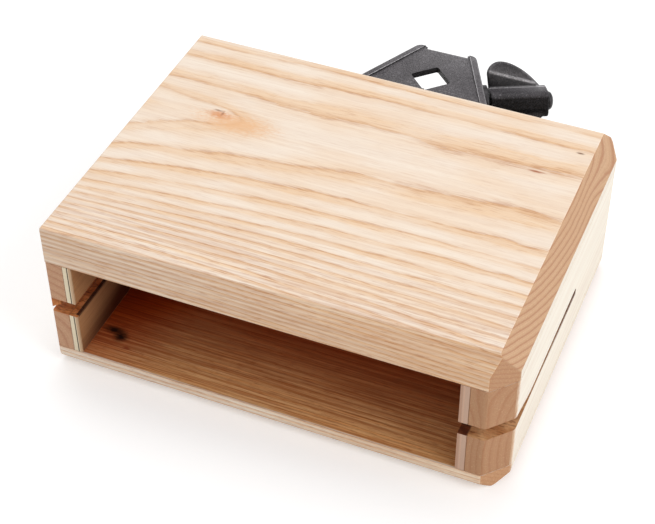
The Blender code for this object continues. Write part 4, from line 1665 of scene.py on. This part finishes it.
@dataclass
class WingHandle:
    """The wing handle: a rounded hub with two wings set off to opposite sides of it."""

    axis: BoltFrame = BoltFrame()
    tilt: float = 16.0
    hub_start: float = 28.0
    hub_end: float = 55.4
    hub_wide: float = 12.4
    hub_deep: float = 13.0
    hub_corner: float = 2.6
    hub_soft: float = 0.9
    bore: float = 4.15
    wing_thick: float = 3.8
    wing_edge: float = 1.5
    root: Pair = (28.7, 1.5)
    heel: Pair = (54.3, 1.5)
    tip: Pair = (54.3, 4.6)
    arcs: tuple[tuple[Pair, ...], ...] = (
        ((27.4, 12.6), (27.4, 15.9), (30.0, 18.6), (33.2, 18.6)),
        ((33.2, 18.6), (36.8, 18.6), (40.3, 16.7), (43.7, 14.4)),
        ((43.7, 14.4), (46.9, 12.2), (50.7, 8.3), (52.5, 6.1)))
    crease: tuple[Pair, Pair] = ((27.4, 14.6), (49.6, 8.0))
    crease_step: float = 0.42
    thinning_run: float = 5.0
    facet: Pair = (1.5, 1.1)
    rim_rows: int = 7
    inner_rows: int = 24
    end_fade: float = 0.03

    def hub_ring(self, inset: float, count: int = 9) -> np.ndarray:
        """Work out the hub's outline, a rectangle with round corners.

        Args:
            inset: How far the outline is drawn in.
            count: How many points each corner has.

        Returns:
            The outline's points across and beside the axis.
        """
        radius = self.hub_corner - inset
        turn = np.linspace(0.0, QUARTER, count)
        arms = []
        for quarter, (side, level) in enumerate(((1, 1), (-1, 1), (-1, -1), (1, -1))):
            centre = np.array([side * (self.hub_wide / 2 - self.hub_corner),
                               level * (self.hub_deep / 2 - self.hub_corner)])
            angle = turn + quarter * QUARTER
            arms.append(centre + radius * np.stack([np.cos(angle), np.sin(angle)], axis=1))
        return np.concatenate(arms)

    def hub_grid(self) -> np.ndarray:
        """Work out the hub as one closed skin with its bore.

        The rings run from the bore over a rounded end, along the outside, over the other
        end and back into the bore.

        Returns:
            The grid in millimetres, closed both ways.
        """
        outside = self.hub_ring(0.0)
        bore = self.bore * outside / np.linalg.norm(outside, axis=1, keepdims=True)
        end = [(bore, 0.4), (bore * 1.1, 0.0)]
        end += [(self.hub_ring(self.hub_soft * (1 - math.sin(turn))),
                 self.hub_soft * (1 - math.cos(turn)))
                for turn in np.linspace(0.0, QUARTER, 6)]
        rings = [(ring, self.hub_start + inward) for ring, inward in end]
        rings += [(ring, self.hub_end - inward) for ring, inward in end[::-1]]
        return np.stack([np.column_stack([ring, np.full(len(ring), level)])
                         for ring, level in rings])

    def wing_outline(self, count: int = 26) -> np.ndarray:
        """Work out one wing's outline from its root over its crest to its heel.

        Bezier arcs join the shoulder, the crest, the slope and the tip.

        Args:
            count: How many points each arc has.

        Returns:
            Points along and off the axis, in millimetres.
        """
        share = np.linspace(0.0, 1.0, count)[:, None]
        rest = 1.0 - share
        curves = [sum(weight * np.array(point) for weight, point in zip(
            (rest ** 3, 3 * rest ** 2 * share, 3 * rest * share ** 2, share ** 3), arc))
            for arc in self.arcs]
        first, last, tip = self.arcs[0][0], self.arcs[-1][-1], self.tip
        lines = [np.linspace(self.root, first, 18), np.linspace(last, tip, 6),
                 np.linspace(tip, self.heel, 5)]
        chain = [lines[0], *curves, *lines[1:]]
        return np.concatenate([chain[0], *(run[1:] for run in chain[1:])])

    def half_thickness(self, along: np.ndarray, off: np.ndarray) -> np.ndarray:
        """Work out half the wing's thickness at places on it.

        It is whole up to the crease, drops by the crease's step over a facet that narrows
        towards the tip, and thins evenly from there to the rim.

        Args:
            along: Places along the axis.
            off: Places off the axis.

        Returns:
            Half the thickness in millimetres.
        """
        (start_s, start_w), (end_s, end_w) = self.crease
        share = np.clip((along - start_s) / (end_s - start_s), 0.0, 1.0)
        above = off - (start_w + (end_w - start_w) * share)
        facet = self.facet[0] - self.facet[1] * share
        drop = self.crease_step * np.clip(above / facet, 0.0, 1.0)
        rest = (self.wing_thick - self.wing_edge) / 2 - self.crease_step
        thinned = rest * np.clip((above - facet) / self.thinning_run, 0.0, 1.0)
        return self.wing_thick / 2 - drop - thinned

    def wing_grid(self) -> np.ndarray:
        """Work out one wing as one closed skin with a round rim.

        Each row of points runs from the root line towards the rim. Over the last part, as
        wide as half the thickness, the skin follows a quarter circle down to the rim, and
        the far side is the near side mirrored in the plate's middle.

        Returns:
            The grid in millimetres, closed along its rows.
        """
        rim = self.wing_outline()
        share = np.linspace(0.0, 1.0, len(rim))[:, None]
        root = np.array(self.root) + (np.array(self.heel) - np.array(self.root)) * share
        reach = np.linalg.norm(rim - root, axis=1)[None, :]
        edge = self.half_thickness(rim[:, 0], rim[:, 1])[None, :]
        soft = np.minimum(edge, reach * UNDER_HALF)
        turn = np.linspace(0.0, QUARTER, self.rim_rows)[::-1, None]
        inner = np.linspace(0.0, 1.0, self.inner_rows)[:-1, None]
        travel = np.concatenate([inner * (reach - soft), reach - soft * (1 - np.sin(
            QUARTER - turn))]) / np.maximum(reach, 1e-6)
        flat = root[None] + (rim - root)[None] * travel[..., None]
        half = self.half_thickness(flat[..., 0], flat[..., 1])
        half[-self.rim_rows:] *= np.sin(turn)
        half *= np.clip(np.minimum(share, 1 - share) / self.end_fade, 0.0, 1.0)[:, 0]
        middle = self.wing_thick / 2 - self.hub_deep / 2
        near, far = (np.stack([flat[..., 1], middle + side * half, flat[..., 0]], axis=-1)
                     for side in (1, -1))
        return np.concatenate([near, far[::-1]])

    def highlight_lines(self) -> tuple[HighlightLine, ...]:
        """Give the painted highlight lines along each wing's crease and foot.

        Returns:
            The lines in the part's frame.
        """
        face = self.wing_thick - self.hub_deep / 2
        (start_s, start_w), (end_s, end_w) = self.crease
        foot = self.hub_wide / 2
        points = np.array([(start_w, face, start_s), (end_w, face, end_s),
                           (foot, face, self.root[0]), (foot, face, self.heel[0])])
        lines = []
        for mirror in (1.0, -1.0):
            ends = self.axis.place(points * np.array([mirror, mirror, 1.0]), self.tilt) / MM
            start, end, foot_start, foot_end = (tuple(place) for place in ends.tolist())
            # Painted highlights: a broad faint one over the wing, a sharp one on its crease
            # and one at its foot.
            lines += [HighlightLine(start, end, 8.5, 0.22), HighlightLine(start, end, 1.2, 0.85),
                      HighlightLine(foot_start, foot_end, 1.1, 1.0)]
        return tuple(lines)

    def build(self) -> None:
        """Build the handle."""
        wing = self.wing_grid()
        sheets = [(self.hub_grid(), True), (wing, False),
                  (wing * np.array([-1.0, -1.0, 1.0]), False)]
        # Up-facing faces are laid lighter over a near-black ground: painted light from above,
        # with settled dust.
        finish = CrinklePaint("crinkle_paint_on_handle", ground=tone(11, 10, 11),
                              top_light_and_dust=tone(80, 77, 80), size=1.1, shine=0.14,
                              highlight_lines=self.highlight_lines())
        surface_piece(Part("cast_wing_handle", BOLT_BODY, "casting", "wing_handle"),
                      [(self.axis.place(grid, self.tilt), True, closed)
                       for grid, closed in sheets], finish.build(), sharp=38.0)


@dataclass
class Studio:
    """The floor, the soft lamps, the white surround and the camera."""

    floor_half: float = 3.0
    lit_place: Triple = (0.0, 0.0, 0.04)
    floor_light: float = 0.3
    world_light: float = 0.62
    camera_place: Triple = (0.192807, -0.469788, 0.490561)
    camera_right: Triple = (0.92257, 0.38581, -0.00524)
    camera_up: Triple = (-0.25602, 0.62227, 0.73976)
    lens: float = 86.10

    def build_floor(self) -> None:
        """Lay the pale floor that the box stands on, a little lit where it is seen."""
        corners = [(across * self.floor_half, along * self.floor_half, 0.0)
                   for across, along in ((-1, -1), (1, -1), (1, 1), (-1, 1))]
        mesh = bpy.data.meshes.new("studio_floor")
        mesh.from_pydata(corners, [], [(0, 1, 2, 3)])
        material = bpy.data.materials.new("pale_floor")
        plan, shader = shaded(material, "BsdfPrincipled", "OutputMaterial")
        seen = plan.named(plan.node("LightPath").outputs)
        glow = plan.most(seen.is_camera_ray, seen.is_glossy_ray) * self.floor_light
        for name, source in (("Base Color", tone(236, 236, 236)), ("Roughness", 0.9),
                             ("Specular IOR Level", 0.1), ("Emission Color", WHITE),
                             ("Emission Strength", glow)):
            plan.feed(shader.inputs[name], source)
        mesh.materials.append(material)
        placed("studio_floor", mesh)

    def build_world(self) -> None:
        """Surround the object with white that lights it plainly."""
        world = bpy.data.worlds.new("white_surround")
        bpy.context.scene.world = world
        plan, background = shaded(world, "Background", "OutputWorld")
        seen = plan.named(plan.node("LightPath").outputs)
        direct = plan.most(seen.is_glossy_ray, seen.is_transmission_ray)
        direct = plan.most(seen.is_camera_ray, direct)
        plan.feed(background.inputs["Color"], WHITE)
        plan.feed(background.inputs["Strength"],
                  self.world_light + direct * (1.0 - self.world_light))

    def lamp(self, name: str, place: Triple, size: float, power: float) -> None:
        """Hang a square soft lamp that looks at the object.

        Args:
            name: The lamp's name.
            place: Where it hangs, in metres.
            size: Its side in metres.
            power: Its power in watts.
        """
        light = bpy.data.lights.new(name, "AREA")
        light.shape = "SQUARE"
        light.size = size
        light.energy = power
        lamp = placed(name, light)
        lamp.location = place
        lamp.rotation_euler = (Vector(self.lit_place) - Vector(place)).to_track_quat(
            "-Z", "Y").to_euler()

    def build_camera(self) -> None:
        """Set the camera at the angle and distance that the object is seen from."""
        right, up = Vector(self.camera_right), Vector(self.camera_up)
        axes = Matrix((right, up, right.cross(up))).transposed().to_4x4()
        data = bpy.data.cameras.new("studio_camera")
        data.sensor_fit = "HORIZONTAL"
        data.sensor_width = 36.0
        data.lens = self.lens
        data.clip_start, data.clip_end = 0.02, 20.0
        camera = placed("studio_camera", data)
        camera.matrix_world = Matrix.Translation(Vector(self.camera_place)) @ axes
        bpy.context.scene.camera = camera

    def build(self) -> None:
        """Build the whole studio."""
        self.build_floor()
        self.build_world()
        self.lamp("key_lamp", (1.3, -0.2, 1.1), 1.1, 10.0)
        self.lamp("top_lamp", (-0.3, 0.5, 1.6), 1.2, 8.0)
        self.build_camera()
        bpy.context.scene.view_settings.view_transform = "Standard"
        log.info("studio: floor, surround, lamps and camera")


def corners(box: tuple[Vector, Vector]) -> list[list[float]]:
    """Give a box's two corners as plain lists."""
    return [list(box[0]), list(box[1])]


def main() -> None:
    """Build the looks sub-assembly by sub-assembly."""
    logging.basicConfig(level=logging.INFO, format="%(name)s: %(message)s")
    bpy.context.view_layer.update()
    sound_box = SoundBox()
    sound_box.dress()
    sound_box.build_glue()
    blackened = CoatedMetal("blackened_steel", tone(40, 38, 40), tone(84, 82, 84), 0.55,
                            0.36).build()
    bracket = Bracket()
    bracket.build_casting()
    bracket.build_screws(blackened)
    Clamp().build(blackened)
    WingHandle().build()
    Studio().build()


if __name__ == "__main__":
    main()
